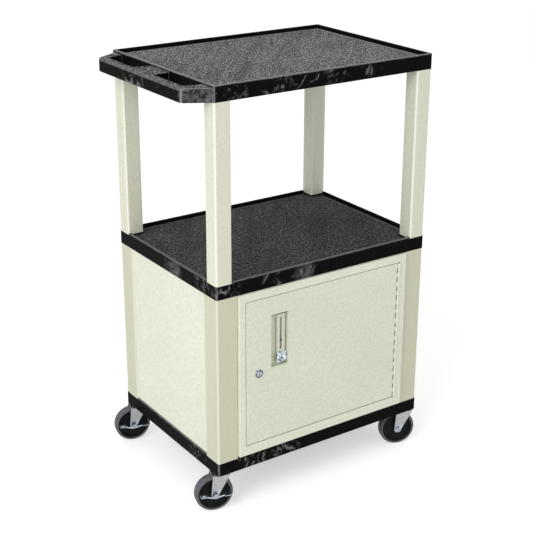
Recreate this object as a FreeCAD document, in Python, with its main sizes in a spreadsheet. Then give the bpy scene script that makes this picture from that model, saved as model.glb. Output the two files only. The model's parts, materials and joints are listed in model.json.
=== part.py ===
import FreeCAD, Part
import os
import Sketcher

# Audio-visual cart: three moulded shelves on hollow legs, with a locking steel
# cabinet between the two lower shelves and four swivel casters.
# Millimetres. X runs to the hinge side, Y to the back, Z up.
# The origin lies on the floor under the centre of the shelves.

DRIVING_SIZES = {
    # Shelf mouldings
    "shelf_length": 609.6,
    "shelf_depth": 457.2,
    "shelf_height": 37.0,
    "shelf_corner_radius": 4.0,
    "rim_width": 7.0,
    "rim_edge_radius": 2.0,
    "deck_drop": 10.0,
    "deck_thickness": 5.0,
    "skirt_thickness": 6.0,
    "rib_thickness": 4.0,
    "rib_depth": 16.0,
    "seat_drop": 4.0,
    "seat_clearance": 1.0,
    # Push handle on the left end of the top shelf
    "handle_reach": 59.2,
    "handle_end_setback": 39.0,
    "handle_corner_radius": 18.0,
    "handle_edge_radius": 6.0,
    "handle_top_drop": 5.0,
    "handle_bar_width": 18.0,
    "handle_bridge_width": 82.0,
    "handle_bridge_flare": 6.0,
    "handle_end_wall": 46.0,
    "handle_slot_slant": 10.0,
    "handle_slot_radius": 7.0,
    # Legs
    "leg_length": 421.5,
    "leg_inset": 0.5,
    "leg_wall": 4.0,
    "upper_leg_width": 43.0,
    "upper_leg_radius": 5.0,
    "lower_leg_width": 57.0,
    "lower_leg_radius": 5.0,
    "spigot_length": 25.0,
    "spigot_clearance": 0.3,
    # Cabinet panels and door frame
    "panel_sheet": 1.2,
    "panel_flange": 15.0,
    "panel_setback": 2.8,
    "bend_radius": 2.0,
    "frame_sheet": 1.5,
    "frame_proud": 6.4,
    "frame_depth": 22.0,
    "frame_inner_flange": 16.0,
    "left_stile": 16.3,
    "right_stile": 19.9,
    "top_rail": 19.5,
    "bottom_rail": 25.0,
    # Door and its continuous hinge
    "door_gap": 2.0,
    "door_sheet": 1.2,
    "door_return": 15.0,
    "hinge_barrel_diameter": 6.0,
    "hinge_pin_diameter": 3.0,
    "hinge_leaf_sheet": 1.2,
    "hinge_leaf_width": 14.0,
    "hinge_clearance": 0.4,
    "hinge_notch_width": 3.0,
    "running_clearance": 0.06,
    # Recessed pull
    "pull_from_door_left": 69.0,
    "pull_from_door_bottom": 187.0,
    "pull_width": 49.0,
    "pull_height": 137.0,
    "pull_depth": 13.0,
    "pull_sheet": 1.2,
    "pull_flange": 4.0,
    "lever_offset": 7.5,
    "lever_width": 23.0,
    "lever_length": 105.0,
    "lever_thickness": 4.0,
    "lever_slot_width": 6.0,
    "lever_slot_length": 76.0,
    "lever_pin_diameter": 3.0,
    "lever_barrel_diameter": 8.0,
    "lever_pin_drop": 11.0,
    "lever_pin_depth": 7.4,
    "grip_width": 27.0,
    "grip_height": 26.0,
    "grip_thickness": 5.0,
    "grip_overlap": 13.0,
    "grip_edge_radius": 2.0,
    # Cam lock
    "lock_from_door_left": 34.6,
    "lock_from_door_bottom": 182.0,
    "lock_head_diameter": 22.0,
    "lock_head_thickness": 2.5,
    "lock_shank_diameter": 18.0,
    "lock_shank_length": 18.0,
    "lock_plug_diameter": 12.0,
    "lock_plug_proud": 0.6,
    "keyway_width": 2.0,
    "keyway_height": 8.0,
    "keyway_depth": 8.0,
    "lock_nut_width": 26.0,
    "lock_nut_thickness": 5.0,
    "cam_length": 52.0,
    "cam_width": 13.0,
    "cam_thickness": 2.0,
    "cam_gap": 0.4,
    "cam_screw_head_diameter": 8.0,
    "cam_screw_head_height": 2.0,
    # Casters
    "caster_side_inset": 19.6,
    "caster_front_inset": 23.0,
    "caster_trail": 18.5,
    "wheel_diameter": 94.0,
    "tread_width": 25.0,
    "tread_radius": 6.5,
    "hub_diameter": 79.0,
    "hub_rim_width": 23.0,
    "hub_rim_wall": 5.0,
    "hub_web": 14.0,
    "hub_boss_diameter": 23.0,
    "hub_boss_length": 30.0,
    "hub_side_gap": 0.5,
    "bush_diameter": 12.0,
    "axle_diameter": 8.0,
    "axle_head_width": 13.0,
    "axle_head_height": 5.0,
    "axle_nut_height": 6.5,
    "fork_sheet": 2.5,
    "fork_foot_width": 19.5,
    "fork_foot_drop": 10.0,
    "fork_foot_radius": 9.5,
    "fork_front_reach": 19.0,
    "fork_rear_reach": 24.0,
    "fork_bend_radius": 4.0,
    "crown_clearance": 2.0,
    "swivel_gap": 1.5,
    "swivel_play": 0.4,
    "kingpin_diameter": 11.0,
    "kingpin_head_diameter": 18.0,
    "kingpin_head_height": 1.4,
    "swivel_flange_diameter": 34.0,
    "swivel_recess_diameter": 40.0,
    "swivel_recess_depth": 6.0,
    "stem_diameter": 10.0,
    "stem_length": 18.0,
    "socket_diameter": 16.0,
    "socket_length": 20.0,
    # Side brake lever on the two casters below the handle
    "brake_sheet": 2.0,
    "brake_gap": 0.4,
    "brake_half_length": 38.5,
    "brake_hub_half_width": 9.0,
    "brake_hub_rise": 8.0,
    "brake_dip": 9.0,
    "brake_shoulder_drop": 4.0,
    "brake_arm_height": 4.0,
    "brake_rear_rise": 6.0,
    "brake_front_rise": 2.0,
    "pedal_length": 18.0,
    "pedal_width": 11.0,
    "pedal_slot_length": 9.0,
    "pedal_slot_width": 5.0,
}

# Number of hinge knuckle pairs and of shelf ribs each way
HINGE_PAIRS = 15
RIBS_ACROSS = 3
RIBS_ALONG = 2

# Angles of the caster forks about Z, in degrees
CASTER_ANGLES = {
    "front_left": -16.0,
    "front_right": -21.0,
    "back_left": -14.0,
    "back_right": -18.0,
}
BRAKED_CASTERS = ("front_left", "back_left")

# Side of the cart of each corner: X sign and Y sign
CORNERS = {
    "front_left": (-1, -1),
    "front_right": (1, -1),
    "back_left": (-1, 1),
    "back_right": (1, 1),
}

# Levels above the floor and main half sizes, as expressions of the sheet
HALF_LENGTH = "(sizes.shelf_length / 2)"
HALF_DEPTH = "(sizes.shelf_depth / 2)"
SEAT_HEIGHT = "(sizes.shelf_height - sizes.seat_drop)"
DECK_HEIGHT = "(sizes.shelf_height - sizes.deck_drop)"
CROWN_LEVEL = "(sizes.wheel_diameter + sizes.crown_clearance)"
BASE_LEVEL = f"({CROWN_LEVEL} + sizes.fork_sheet + sizes.swivel_gap)"
STOREY = f"({SEAT_HEIGHT} + sizes.leg_length)"
MIDDLE_LEVEL = f"({BASE_LEVEL} + {STOREY})"
TOP_LEVEL = f"({BASE_LEVEL} + 2 * {STOREY})"
CABINET_FLOOR = f"({BASE_LEVEL} + sizes.shelf_height)"
CABINET_HEIGHT = f"({MIDDLE_LEVEL} - {CABINET_FLOOR})"
SIDE_SPAN = "(sizes.shelf_depth - 2 * sizes.leg_inset - 2 * sizes.lower_leg_width)"
FRONT_SPAN = "(sizes.shelf_length - 2 * sizes.leg_inset - 2 * sizes.lower_leg_width)"

# Door opening and door, seen from the front
FACE_Y = f"(-{HALF_DEPTH} - sizes.frame_proud)"
OPENING_LEFT = f"(-{FRONT_SPAN} / 2 + sizes.left_stile)"
OPENING_RIGHT = f"({FRONT_SPAN} / 2 - sizes.right_stile)"
OPENING_BOTTOM = f"({CABINET_FLOOR} + sizes.bottom_rail)"
OPENING_TOP = f"({MIDDLE_LEVEL} - sizes.top_rail)"
HINGE_X = f"({OPENING_RIGHT} - sizes.hinge_clearance - sizes.hinge_barrel_diameter / 2)"
DOOR_LEFT = f"({OPENING_LEFT} + sizes.door_gap)"
DOOR_RIGHT = f"({HINGE_X} - sizes.hinge_barrel_diameter / 2 - sizes.hinge_clearance)"
DOOR_BOTTOM = f"({OPENING_BOTTOM} + sizes.door_gap)"
DOOR_TOP = f"({OPENING_TOP} - sizes.door_gap)"
DOOR_WIDTH = f"({DOOR_RIGHT} - {DOOR_LEFT})"
DOOR_HEIGHT = f"({DOOR_TOP} - {DOOR_BOTTOM})"
HINGE_PITCH = f"({DOOR_HEIGHT} / {HINGE_PAIRS})"

# Recessed pull and lock
PULL_LEFT = f"({DOOR_LEFT} + sizes.pull_from_door_left)"
PULL_BOTTOM = f"({DOOR_BOTTOM} + sizes.pull_from_door_bottom)"
PULL_CENTRE = f"({PULL_LEFT} + sizes.pull_width / 2)"
LEVER_X = f"({PULL_CENTRE} + sizes.lever_offset)"
LEVER_PIN_Z = f"({PULL_BOTTOM} + sizes.pull_height - sizes.lever_pin_drop)"
LEVER_PIN_Y = f"({FACE_Y} + sizes.lever_pin_depth)"
LEVER_FRONT = f"({LEVER_PIN_Y} - sizes.lever_thickness / 2)"
LEVER_FOOT = f"({LEVER_PIN_Z} - sizes.lever_length)"
LOCK_X = f"({DOOR_LEFT} + sizes.lock_from_door_left)"
LOCK_Z = f"({DOOR_BOTTOM} + sizes.lock_from_door_bottom)"
LOCK_BACK = f"({FACE_Y} + sizes.lock_shank_length)"
CAM_FRONT = f"({LOCK_BACK} + sizes.cam_gap)"

# Casters, in a frame of their own: swivel axis on Z, fork pointing along +X
WHEEL_RADIUS = "(sizes.wheel_diameter / 2)"
FORK_GAP = "(sizes.hub_boss_length + 2 * sizes.hub_side_gap)"
FORK_WIDTH = f"({FORK_GAP} + 2 * sizes.fork_sheet)"
RECESS_ROOF = f"({BASE_LEVEL} + sizes.swivel_recess_depth)"
BRAKE_SIDE = f"({FORK_WIDTH} / 2 + sizes.brake_gap)"

document = FreeCAD.newDocument("audio_visual_cart")
sizes = document.addObject("Spreadsheet::Sheet", "sizes")
for row, (alias, value) in enumerate(DRIVING_SIZES.items(), start=1):
    sizes.set(f"A{row}", alias)
    sizes.set(f"B{row}", str(value))
    sizes.setAlias(f"B{row}", alias)
document.recompute()

sub_parts = []


def amount(expression):
    """The number that an expression of the sheet gives."""
    return float(sizes.evalExpression(expression.replace("sizes.", "")))


def bind(item, expressions):
    """Tie properties of a document object to expressions of the sheet."""
    for path, expression in expressions.items():
        item.setExpression(path, expression)


def place(item, x="0", y="0", z="0"):
    """Tie an object's position to three expressions."""
    bind(item, {"Placement.Base.x": x, "Placement.Base.y": y, "Placement.Base.z": z})


def new_body(label):
    """An empty body that becomes one sub-part."""
    piece = document.addObject("PartDesign::Body", label)
    piece.Label = label
    sub_parts.append(piece)
    return piece


def centred(size):
    """Expression of the low end of a span that is centred on zero."""
    return f"(-({size}) / 2)"


def block(piece, name, size, corner, cut=False):
    """Add or cut a box of three expressions at a corner of three expressions."""
    kind = "PartDesign::SubtractiveBox" if cut else "PartDesign::AdditiveBox"
    feature = piece.newObject(kind, name)
    bind(feature, {"Length": size[0], "Width": size[1], "Height": size[2]})
    place(feature, *corner)
    return feature


def round_bar(piece, name, diameter, length, start, axis="Z", cut=False):
    """Add or cut a cylinder that runs from start along +X, +Y or +Z."""
    kind = "PartDesign::SubtractiveCylinder" if cut else "PartDesign::AdditiveCylinder"
    feature = piece.newObject(kind, name)
    feature.Placement = FreeCAD.Placement(FreeCAD.Vector(), axis_turn(axis))
    bind(feature, {"Radius": f"({diameter}) / 2", "Height": length})
    place(feature, *start)
    return feature


def axis_turn(axis):
    """The rotation that turns +Z to the named axis."""
    directions = {"X": FreeCAD.Vector(1, 0, 0), "Y": FreeCAD.Vector(0, 1, 0), "Z": FreeCAD.Vector(0, 0, 1)}
    return FreeCAD.Rotation(directions["Z"], directions[axis])


def sketch_on(piece, role, name):
    """A new sketch on one of the body's own origin planes."""
    plane = next(item for item in piece.Origin.OriginFeatures if item.Role == role)
    sketch = piece.newObject("Sketcher::SketchObject", name)
    sketch.AttachmentSupport = [(plane, "")]
    sketch.MapMode = "FlatFace"
    return sketch


def draw_outline(sketch, points):
    """A closed outline of straight lines whose corners are tied to expressions."""
    first = sketch.GeometryCount
    corners = [FreeCAD.Vector(amount(x), amount(y), 0) for x, y in points]
    count = len(points)
    for index, corner in enumerate(corners):
        sketch.addGeometry(Part.LineSegment(corner, corners[(index + 1) % count]))
    for index in range(count):
        following = first + (index + 1) % count
        sketch.addConstraint(Sketcher.Constraint("Coincident", first + index, 2, following, 1))
    for index, (x, y) in enumerate(points):
        for kind, expression in (("DistanceX", x), ("DistanceY", y)):
            limit = Sketcher.Constraint(kind, -1, 1, first + index, 1, amount(expression))
            number = sketch.addConstraint(limit)
            sketch.setExpression(f"Constraints[{number}]", expression)


def draw_circle(sketch, x, y, diameter):
    """A circle whose centre and diameter are tied to expressions."""
    centre = FreeCAD.Vector(amount(x), amount(y), 0)
    radius = amount(diameter) / 2
    circle = sketch.addGeometry(Part.Circle(centre, FreeCAD.Vector(0, 0, 1), radius))
    limits = (
        (Sketcher.Constraint("DistanceX", -1, 1, circle, 3, centre.x), x),
        (Sketcher.Constraint("DistanceY", -1, 1, circle, 3, centre.y), y),
        (Sketcher.Constraint("Diameter", circle, 2 * radius), diameter),
    )
    for limit, expression in limits:
        number = sketch.addConstraint(limit)
        sketch.setExpression(f"Constraints[{number}]", expression)


def rectangle(low_x, low_y, high_x, high_y):
    """Corner points of a rectangle."""
    return [(low_x, low_y), (high_x, low_y), (high_x, high_y), (low_x, high_y)]


def pad(piece, sketch, length, name, symmetric=False):
    """Raise a sketch to a solid."""
    feature = piece.newObject("PartDesign::Pad", name)
    feature.Profile = sketch
    feature.SideType = "Symmetric" if symmetric else "One side"
    feature.setExpression("Length", length)
    return feature


def raise_from(piece, sketch, low, height, name):
    """Raise a level sketch from a height of the body."""
    sketch.setExpression("AttachmentOffset.Base.z", low)
    return pad(piece, sketch, height, name)


def sink_from(piece, sketch, high, depth, name):
    """Cut a level sketch down from a height of the body."""
    sketch.setExpression("AttachmentOffset.Base.z", high)
    feature = piece.newObject("PartDesign::Pocket", name)
    feature.Profile = sketch
    feature.setExpression("Length", depth)
    return feature


def through_pocket(piece, sketch, name):
    """Cut a sketch right through the body, both ways."""
    document.recompute()
    before = piece.Tip.Shape.Volume
    feature = piece.newObject("PartDesign::Pocket", name)
    feature.Profile = sketch
    feature.Type = "ThroughAll"
    feature.SideType = "Symmetric"
    document.recompute()
    if feature.Shape.Volume >= before:
        raise RuntimeError(f"{piece.Label}: {name} cuts nothing")
    return feature


def spin(piece, sketch, name):
    """Turn a sketch about its vertical axis to a solid of revolution."""
    feature = piece.newObject("PartDesign::Revolution", name)
    feature.Profile = sketch
    feature.ReferenceAxis = (sketch, ["V_Axis"])
    feature.Angle = 360
    return feature


def fillet(piece, radius, chosen, name):
    """Round the edges of the body for which chosen(edge) is true."""
    document.recompute()
    base = piece.Tip
    names = [f"Edge{number}" for number, edge in enumerate(base.Shape.Edges, start=1) if chosen(edge)]
    if not names:
        raise RuntimeError(f"{piece.Label}: no edges for {name}")
    feature = piece.newObject("PartDesign::Fillet", name)
    feature.Base = (base, names)
    feature.setExpression("Radius", radius)
    return feature


def repeat_along_z(piece, feature, pitch, count, name):
    """Repeat a feature upwards at a pitch."""
    axis = next(item for item in piece.Origin.OriginFeatures if item.Role == "Z_Axis")
    pattern = piece.newObject("PartDesign::LinearPattern", name)
    pattern.Originals = [feature]
    pattern.Direction = (axis, [""])
    pattern.Mode = "Spacing"
    pattern.Occurrences = count
    pattern.setExpression("Offset", pitch)
    piece.Tip = pattern
    return pattern


def near(first, second, tolerance=1e-4):
    """Whether two lengths are the same."""
    return abs(first - second) < tolerance


def is_upright(edge):
    """Whether an edge is straight and runs along Z."""
    box = edge.BoundBox
    return box.XLength < 1e-4 and box.YLength < 1e-4 and box.ZLength > 1e-4


def lies_at(edge, axis, position):
    """Whether an edge lies flat at a position along X, Y or Z."""
    box = edge.BoundBox
    low = getattr(box, f"{axis}Min")
    high = getattr(box, f"{axis}Max")
    return near(low, position) and near(high, position)


# Shelves


def shelf(label, level, leg_above, leg_below):
    """A moulded shelf: rim, sunk deck, skirt, ribs, corner bosses, seats and spigots."""
    piece = new_body(label)
    sketch = sketch_on(piece, "XY_Plane", f"{label}_outline")
    draw_outline(sketch, rectangle(f"-{HALF_LENGTH}", f"-{HALF_DEPTH}", HALF_LENGTH, HALF_DEPTH))
    pad(piece, sketch, "sizes.shelf_height", f"{label}_slab")
    fillet(piece, "sizes.shelf_corner_radius", is_upright, f"{label}_corners")
    top = amount("sizes.shelf_height")
    fillet(piece, "sizes.rim_edge_radius", lambda edge: lies_at(edge, "Z", top), f"{label}_rim_edge")
    hollow_shelf(piece, label)
    add_bosses(piece, label)
    if leg_above:
        add_seats(piece, label, leg_above)
        add_spigots(piece, f"{label}_upper_spigots", leg_above, f"{SEAT_HEIGHT} - sizes.deck_thickness / 2")
    if leg_below:
        add_spigots(piece, f"{label}_lower_spigots", leg_below, "-sizes.spigot_length")
    add_ribs(piece, label)
    place(piece, z=level)
    return piece


def hollow_shelf(piece, label):
    """Sink the deck below the rim and open the underside inside the skirt."""
    deck = ("sizes.shelf_length - 2 * sizes.rim_width", "sizes.shelf_depth - 2 * sizes.rim_width")
    block(piece, f"{label}_deck", (*deck, "sizes.deck_drop"),
          (centred(deck[0]), centred(deck[1]), DECK_HEIGHT), cut=True)
    skirts = "2 * sizes.skirt_thickness"
    inside = (f"sizes.shelf_length - {skirts}", f"sizes.shelf_depth - {skirts}")
    block(piece, f"{label}_underside", (*inside, f"{DECK_HEIGHT} - sizes.deck_thickness"),
          (centred(inside[0]), centred(inside[1]), "0"), cut=True)


def add_ribs(piece, label):
    """Stiffening ribs that hang from the deck and end in the skirt."""
    half_length = f"({HALF_LENGTH} - sizes.skirt_thickness / 2)"
    half_depth = f"({HALF_DEPTH} - sizes.skirt_thickness / 2)"
    foot = f"{DECK_HEIGHT} - sizes.deck_thickness / 2 - sizes.rib_depth"
    half = "sizes.rib_thickness / 2"
    across = sketch_on(piece, "XY_Plane", f"{label}_rib_lines_across")
    for number in range(1, RIBS_ACROSS + 1):
        x = f"{half_length} * {2 * number / (RIBS_ACROSS + 1) - 1}"
        draw_outline(across, rectangle(f"{x} - {half}", f"-{half_depth}", f"{x} + {half}", half_depth))
    raise_from(piece, across, foot, "sizes.rib_depth", f"{label}_ribs_across")
    along = sketch_on(piece, "XY_Plane", f"{label}_rib_lines_along")
    for number in range(1, RIBS_ALONG + 1):
        y = f"{half_depth} * {2 * number / (RIBS_ALONG + 1) - 1}"
        draw_outline(along, rectangle(f"-{half_length}", f"{y} - {half}", half_length, f"{y} + {half}"))
    raise_from(piece, along, foot, "sizes.rib_depth", f"{label}_ribs_along")


def corner_squares(piece, name, outer_inset, width):
    """A level sketch with a square in each shelf corner, at an inset from the skirt's faces."""
    sketch = sketch_on(piece, "XY_Plane", name)
    for sign_x, sign_y in CORNERS.values():
        near_x = f"{sign_x} * ({HALF_LENGTH} - ({outer_inset}))"
        near_y = f"{sign_y} * ({HALF_DEPTH} - ({outer_inset}))"
        far_x = f"{sign_x} * ({HALF_LENGTH} - ({outer_inset}) - {width})"
        far_y = f"{sign_y} * ({HALF_DEPTH} - ({outer_inset}) - {width})"
        draw_outline(sketch, rectangle(near_x, near_y, far_x, far_y))
    return sketch


def add_bosses(piece, label):
    """Solid corners below the deck, where legs and casters bear on the shelf."""
    overlap = "(sizes.skirt_thickness / 2)"
    width = f"(sizes.lower_leg_width + sizes.leg_inset - {overlap})"
    sketch = corner_squares(piece, f"{label}_boss_squares", overlap, width)
    raise_from(piece, sketch, "0", f"{DECK_HEIGHT} - sizes.deck_thickness / 2", f"{label}_bosses")


def add_seats(piece, label, leg_width):
    """Level seats for the legs above, with the rim cut away round them."""
    root = "sizes.rim_width / 2"
    footprint = f"({leg_width} + sizes.leg_inset + sizes.seat_clearance)"
    sketch = corner_squares(piece, f"{label}_seat_squares", root, f"({footprint} - {root})")
    bury = "sizes.deck_thickness / 2"
    raise_from(piece, sketch, f"{DECK_HEIGHT} - {bury}", f"sizes.deck_drop - sizes.seat_drop + {bury}",
               f"{label}_seats")
    sketch = corner_squares(piece, f"{label}_rim_gap_squares", "0", footprint)
    sink_from(piece, sketch, "sizes.shelf_height", "sizes.seat_drop", f"{label}_rim_gaps")


def add_spigots(piece, name, leg_width, low):
    """Square plugs that fit inside the hollow ends of the legs."""
    margin = "(sizes.leg_wall + sizes.spigot_clearance)"
    width = f"({leg_width} - 2 * {margin})"
    sketch = corner_squares(piece, f"{name}_squares", f"sizes.leg_inset + {margin}", width)
    raise_from(piece, sketch, low, "sizes.spigot_length + sizes.deck_thickness / 2", name)


def top_shelf():
    """The top shelf, with the push handle moulded on its left end."""
    piece = shelf("top_shelf", TOP_LEVEL, None, "sizes.upper_leg_width")
    add_handle(piece)
    return piece


def add_handle(piece):
    """Angled-end handle bar with two finger slots either side of a centre bridge."""
    root = f"(-{HALF_LENGTH} + sizes.skirt_thickness / 2)"
    outer = f"(-{HALF_LENGTH} - sizes.handle_reach)"
    root_half = f"({HALF_DEPTH} - sizes.skirt_thickness / 2)"
    outer_half = f"({HALF_DEPTH} - sizes.handle_end_setback)"
    sketch = sketch_on(piece, "XY_Plane", "handle_outline")
    draw_outline(sketch, [
        (root, f"-{root_half}"),
        (root, root_half),
        (outer, outer_half),
        (outer, f"-{outer_half}"),
    ])
    pad(piece, sketch, "sizes.shelf_height - sizes.handle_top_drop", "handle_bar")
    left_face = -amount(HALF_LENGTH)
    outer_face = amount(outer)
    handle_top = amount("sizes.shelf_height - sizes.handle_top_drop")
    fillet(piece, "sizes.handle_corner_radius",
           lambda edge: is_upright(edge) and near(edge.BoundBox.XMin, outer_face), "handle_corners")
    fillet(piece, "sizes.handle_edge_radius",
           lambda edge: lies_at(edge, "Z", handle_top) and edge.CenterOfMass.x < left_face - 1
           and not lies_at(edge, "X", left_face), "handle_top_edge")
    for name, side in (("front", -1), ("back", 1)):
        add_finger_slot(piece, name, side)


def add_finger_slot(piece, name, side):
    """One slot through the handle, tapered towards the bar and round at the bar's side."""
    bar_side = f"(-{HALF_LENGTH} - sizes.handle_reach + sizes.handle_bar_width)"
    bridge = "(sizes.handle_bridge_width / 2)"
    far_end = f"({HALF_DEPTH} - sizes.handle_end_wall)"
    sketch = sketch_on(piece, "XY_Plane", f"{name}_slot_outline")
    draw_outline(sketch, [
        (f"-{HALF_LENGTH}", f"{side} * {bridge}"),
        (f"-{HALF_LENGTH}", f"{side} * {far_end}"),
        (bar_side, f"{side} * ({far_end} - sizes.handle_slot_slant)"),
        (bar_side, f"{side} * ({bridge} + sizes.handle_bridge_flare)"),
    ])
    through_pocket(piece, sketch, f"{name}_slot")
    slot_face = amount(bar_side)
    fillet(piece, "sizes.handle_slot_radius",
           lambda edge: is_upright(edge) and near(edge.BoundBox.XMin, slot_face)
           and edge.BoundBox.YMin * side > 0, f"{name}_slot_corners")


def bottom_shelf():
    """The bottom shelf, with recesses and bores for the caster stems below its bosses."""
    piece = shelf("bottom_shelf", BASE_LEVEL, "sizes.lower_leg_width", None)
    recesses = sketch_on(piece, "XY_Plane", "swivel_recess_circles")
    bores = sketch_on(piece, "XY_Plane", "socket_bore_circles")
    for signs in CORNERS.values():
        x, y = caster_axis(signs)
        draw_circle(recesses, x, y, "sizes.swivel_recess_diameter")
        draw_circle(bores, x, y, "sizes.socket_diameter")
    sink_from(piece, recesses, "sizes.swivel_recess_depth", "sizes.swivel_recess_depth", "swivel_recesses")
    socket_depth = "sizes.swivel_recess_depth + sizes.socket_length"
    sink_from(piece, bores, socket_depth, socket_depth, "socket_bores")
    return piece


# Legs


def leg(label, signs, width, radius, level):
    """A hollow square leg with rounded corners."""
    piece = new_body(label)
    sketch = sketch_on(piece, "XY_Plane", f"{label}_section")
    half = f"({width} / 2)"
    bore = f"({half} - sizes.leg_wall)"
    draw_outline(sketch, rectangle(f"-{half}", f"-{half}", half, half))
    draw_outline(sketch, rectangle(f"-{bore}", f"-{bore}", bore, bore))
    pad(piece, sketch, "sizes.leg_length", f"{label}_tube")
    face = amount(half)
    fillet(piece, radius,
           lambda edge: is_upright(edge) and near(abs(edge.BoundBox.XMin), face), f"{label}_corners")
    x = f"{signs[0]} * ({HALF_LENGTH} - sizes.leg_inset - {half})"
    y = f"{signs[1]} * ({HALF_DEPTH} - sizes.leg_inset - {half})"
    place(piece, x, y, level)
    return piece


# Cabinet


def sheet_pan(piece, name, size, sheet):
    """A flat sheet with flanges on all four sides: face at Y = 0, flanges towards +Y."""
    width, depth, height = size
    block(piece, f"{name}_outside", size, (centred(width), "0", "0"))
    fillet(piece, "sizes.bend_radius", lambda edge: lies_at(edge, "Y", 0), f"{name}_bends")
    inside = (f"{width} - 2 * {sheet}", f"{depth} - {sheet}", f"{height} - 2 * {sheet}")
    block(piece, f"{name}_inside", inside, (f"{centred(width)} + {sheet}", sheet, sheet), cut=True)


def panel(label, span, turn, x, y):
    """A cabinet wall between two lower legs."""
    piece = new_body(label)
    sheet_pan(piece, label, (span, "sizes.panel_flange", CABINET_HEIGHT), "sizes.panel_sheet")
    piece.Placement = FreeCAD.Placement(FreeCAD.Vector(), FreeCAD.Rotation(FreeCAD.Vector(0, 0, 1), turn))
    place(piece, x, y, CABINET_FLOOR)
    return piece


def door_frame():
    """A pressed ring of channel section round the door opening."""
    piece = new_body("door_frame")
    sheet_pan(piece, "frame", (FRONT_SPAN, "sizes.frame_depth", CABINET_HEIGHT), "sizes.frame_sheet")
    width = f"({OPENING_RIGHT} - {OPENING_LEFT})"
    height = f"({OPENING_TOP} - {OPENING_BOTTOM})"
    rise = "sizes.bottom_rail"
    collar = (f"{width} + 2 * sizes.frame_sheet", "sizes.frame_inner_flange - sizes.frame_sheet / 2",
              f"{height} + 2 * sizes.frame_sheet")
    block(piece, "frame_collar", collar,
          (f"{OPENING_LEFT} - sizes.frame_sheet", "sizes.frame_sheet / 2", f"{rise} - sizes.frame_sheet"))
    block(piece, "frame_opening", (width, "sizes.frame_depth", height), (OPENING_LEFT, "0", rise), cut=True)
    place(piece, "0", FACE_Y, CABINET_FLOOR)
    return piece


def door():
    """The door pan, cut for the pull and the lock and notched along its hinge edge."""
    piece = new_body("door")
    centre = f"(({DOOR_LEFT} + {DOOR_RIGHT}) / 2)"
    sheet_pan(piece, "door", (DOOR_WIDTH, "sizes.door_return", DOOR_HEIGHT), "sizes.door_sheet")
    low_x = f"({centred(DOOR_WIDTH)})"
    block(piece, "pull_opening", ("sizes.pull_width", "sizes.door_return", "sizes.pull_height"),
          (f"{low_x} + sizes.pull_from_door_left", "0", "sizes.pull_from_door_bottom"), cut=True)
    round_bar(piece, "lock_hole", "sizes.lock_shank_diameter", "sizes.door_return",
              (f"{low_x} + sizes.lock_from_door_left", "0", "sizes.lock_from_door_bottom"),
              axis="Y", cut=True)
    notch_size = ("sizes.hinge_notch_width", "sizes.hinge_barrel_diameter / 2 + sizes.hinge_clearance",
                  f"{HINGE_PITCH} / 2 + sizes.hinge_clearance")
    notch = block(piece, "hinge_notch", notch_size,
                  (f"{DOOR_WIDTH} / 2 - sizes.hinge_notch_width", "0", "-sizes.hinge_clearance / 2"),
                  cut=True)
    repeat_along_z(piece, notch, HINGE_PITCH, HINGE_PAIRS, "hinge_notches")
    place(piece, centre, FACE_Y, DOOR_BOTTOM)
    return piece


# Continuous hinge


def hinge_leaf(label, leaf_x, first_gap):
    """A hinge leaf with its barrel, notched where the other leaf's knuckles turn."""
    piece = new_body(label)
    barrel = "sizes.hinge_barrel_diameter"
    block(piece, f"{label}_strip", ("sizes.hinge_leaf_sheet", "sizes.hinge_leaf_width", DOOR_HEIGHT),
          (leaf_x, "0", "0"))
    round_bar(piece, f"{label}_barrel", barrel, DOOR_HEIGHT, ("0", "0", "0"))
    reach = f"({barrel} / 2 + sizes.hinge_clearance)"
    notch = block(piece, f"{label}_notch",
                  (f"2 * {reach}", f"2 * {reach}", f"{HINGE_PITCH} / 2 + sizes.hinge_clearance"),
                  (f"-{reach}", f"-{reach}", f"{first_gap} - sizes.hinge_clearance / 2"), cut=True)
    repeat_along_z(piece, notch, HINGE_PITCH, HINGE_PAIRS, f"{label}_notches")
    bore = "sizes.hinge_pin_diameter + 2 * sizes.running_clearance"
    round_bar(piece, f"{label}_bore", bore, DOOR_HEIGHT, ("0", "0", "0"), cut=True)
    place(piece, HINGE_X, FACE_Y, DOOR_BOTTOM)
    return piece


def hinge():
    """Frame leaf, door leaf and the pin through both barrels."""
    offset = "(sizes.hinge_barrel_diameter / 2 + sizes.hinge_clearance)"
    hinge_leaf("hinge_frame_leaf", f"{offset} - sizes.hinge_leaf_sheet", f"{HINGE_PITCH} / 2")
    hinge_leaf("hinge_door_leaf", f"-{offset}", "0")
    pin = new_body("hinge_pin")
    round_bar(pin, "hinge_pin_rod", "sizes.hinge_pin_diameter", DOOR_HEIGHT, ("0", "0", "0"))
    place(pin, HINGE_X, FACE_Y, DOOR_BOTTOM)


# Recessed pull


def pull_pan():
    """The tray let into the door, with a flange behind the door sheet."""
    piece = new_body("pull_pan")
    width = "sizes.pull_width"
    height = "sizes.pull_height"
    sheet = "sizes.pull_sheet"
    edge = "sizes.pull_flange"
    block(piece, "pan_outside", (width, "sizes.pull_depth", height), ("0", "0", "0"))
    block(piece, "pan_flange", (f"{width} + 2 * {edge}", sheet, f"{height} + 2 * {edge}"),
          (f"-{edge}", "sizes.door_sheet", f"-{edge}"))
    inside = (f"{width} - 2 * {sheet}", f"sizes.pull_depth - {sheet}", f"{height} - 2 * {sheet}")
    block(piece, "pan_inside", inside, (sheet, "0", sheet), cut=True)
    place(piece, PULL_LEFT, FACE_Y, PULL_BOTTOM)
    return piece


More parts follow.
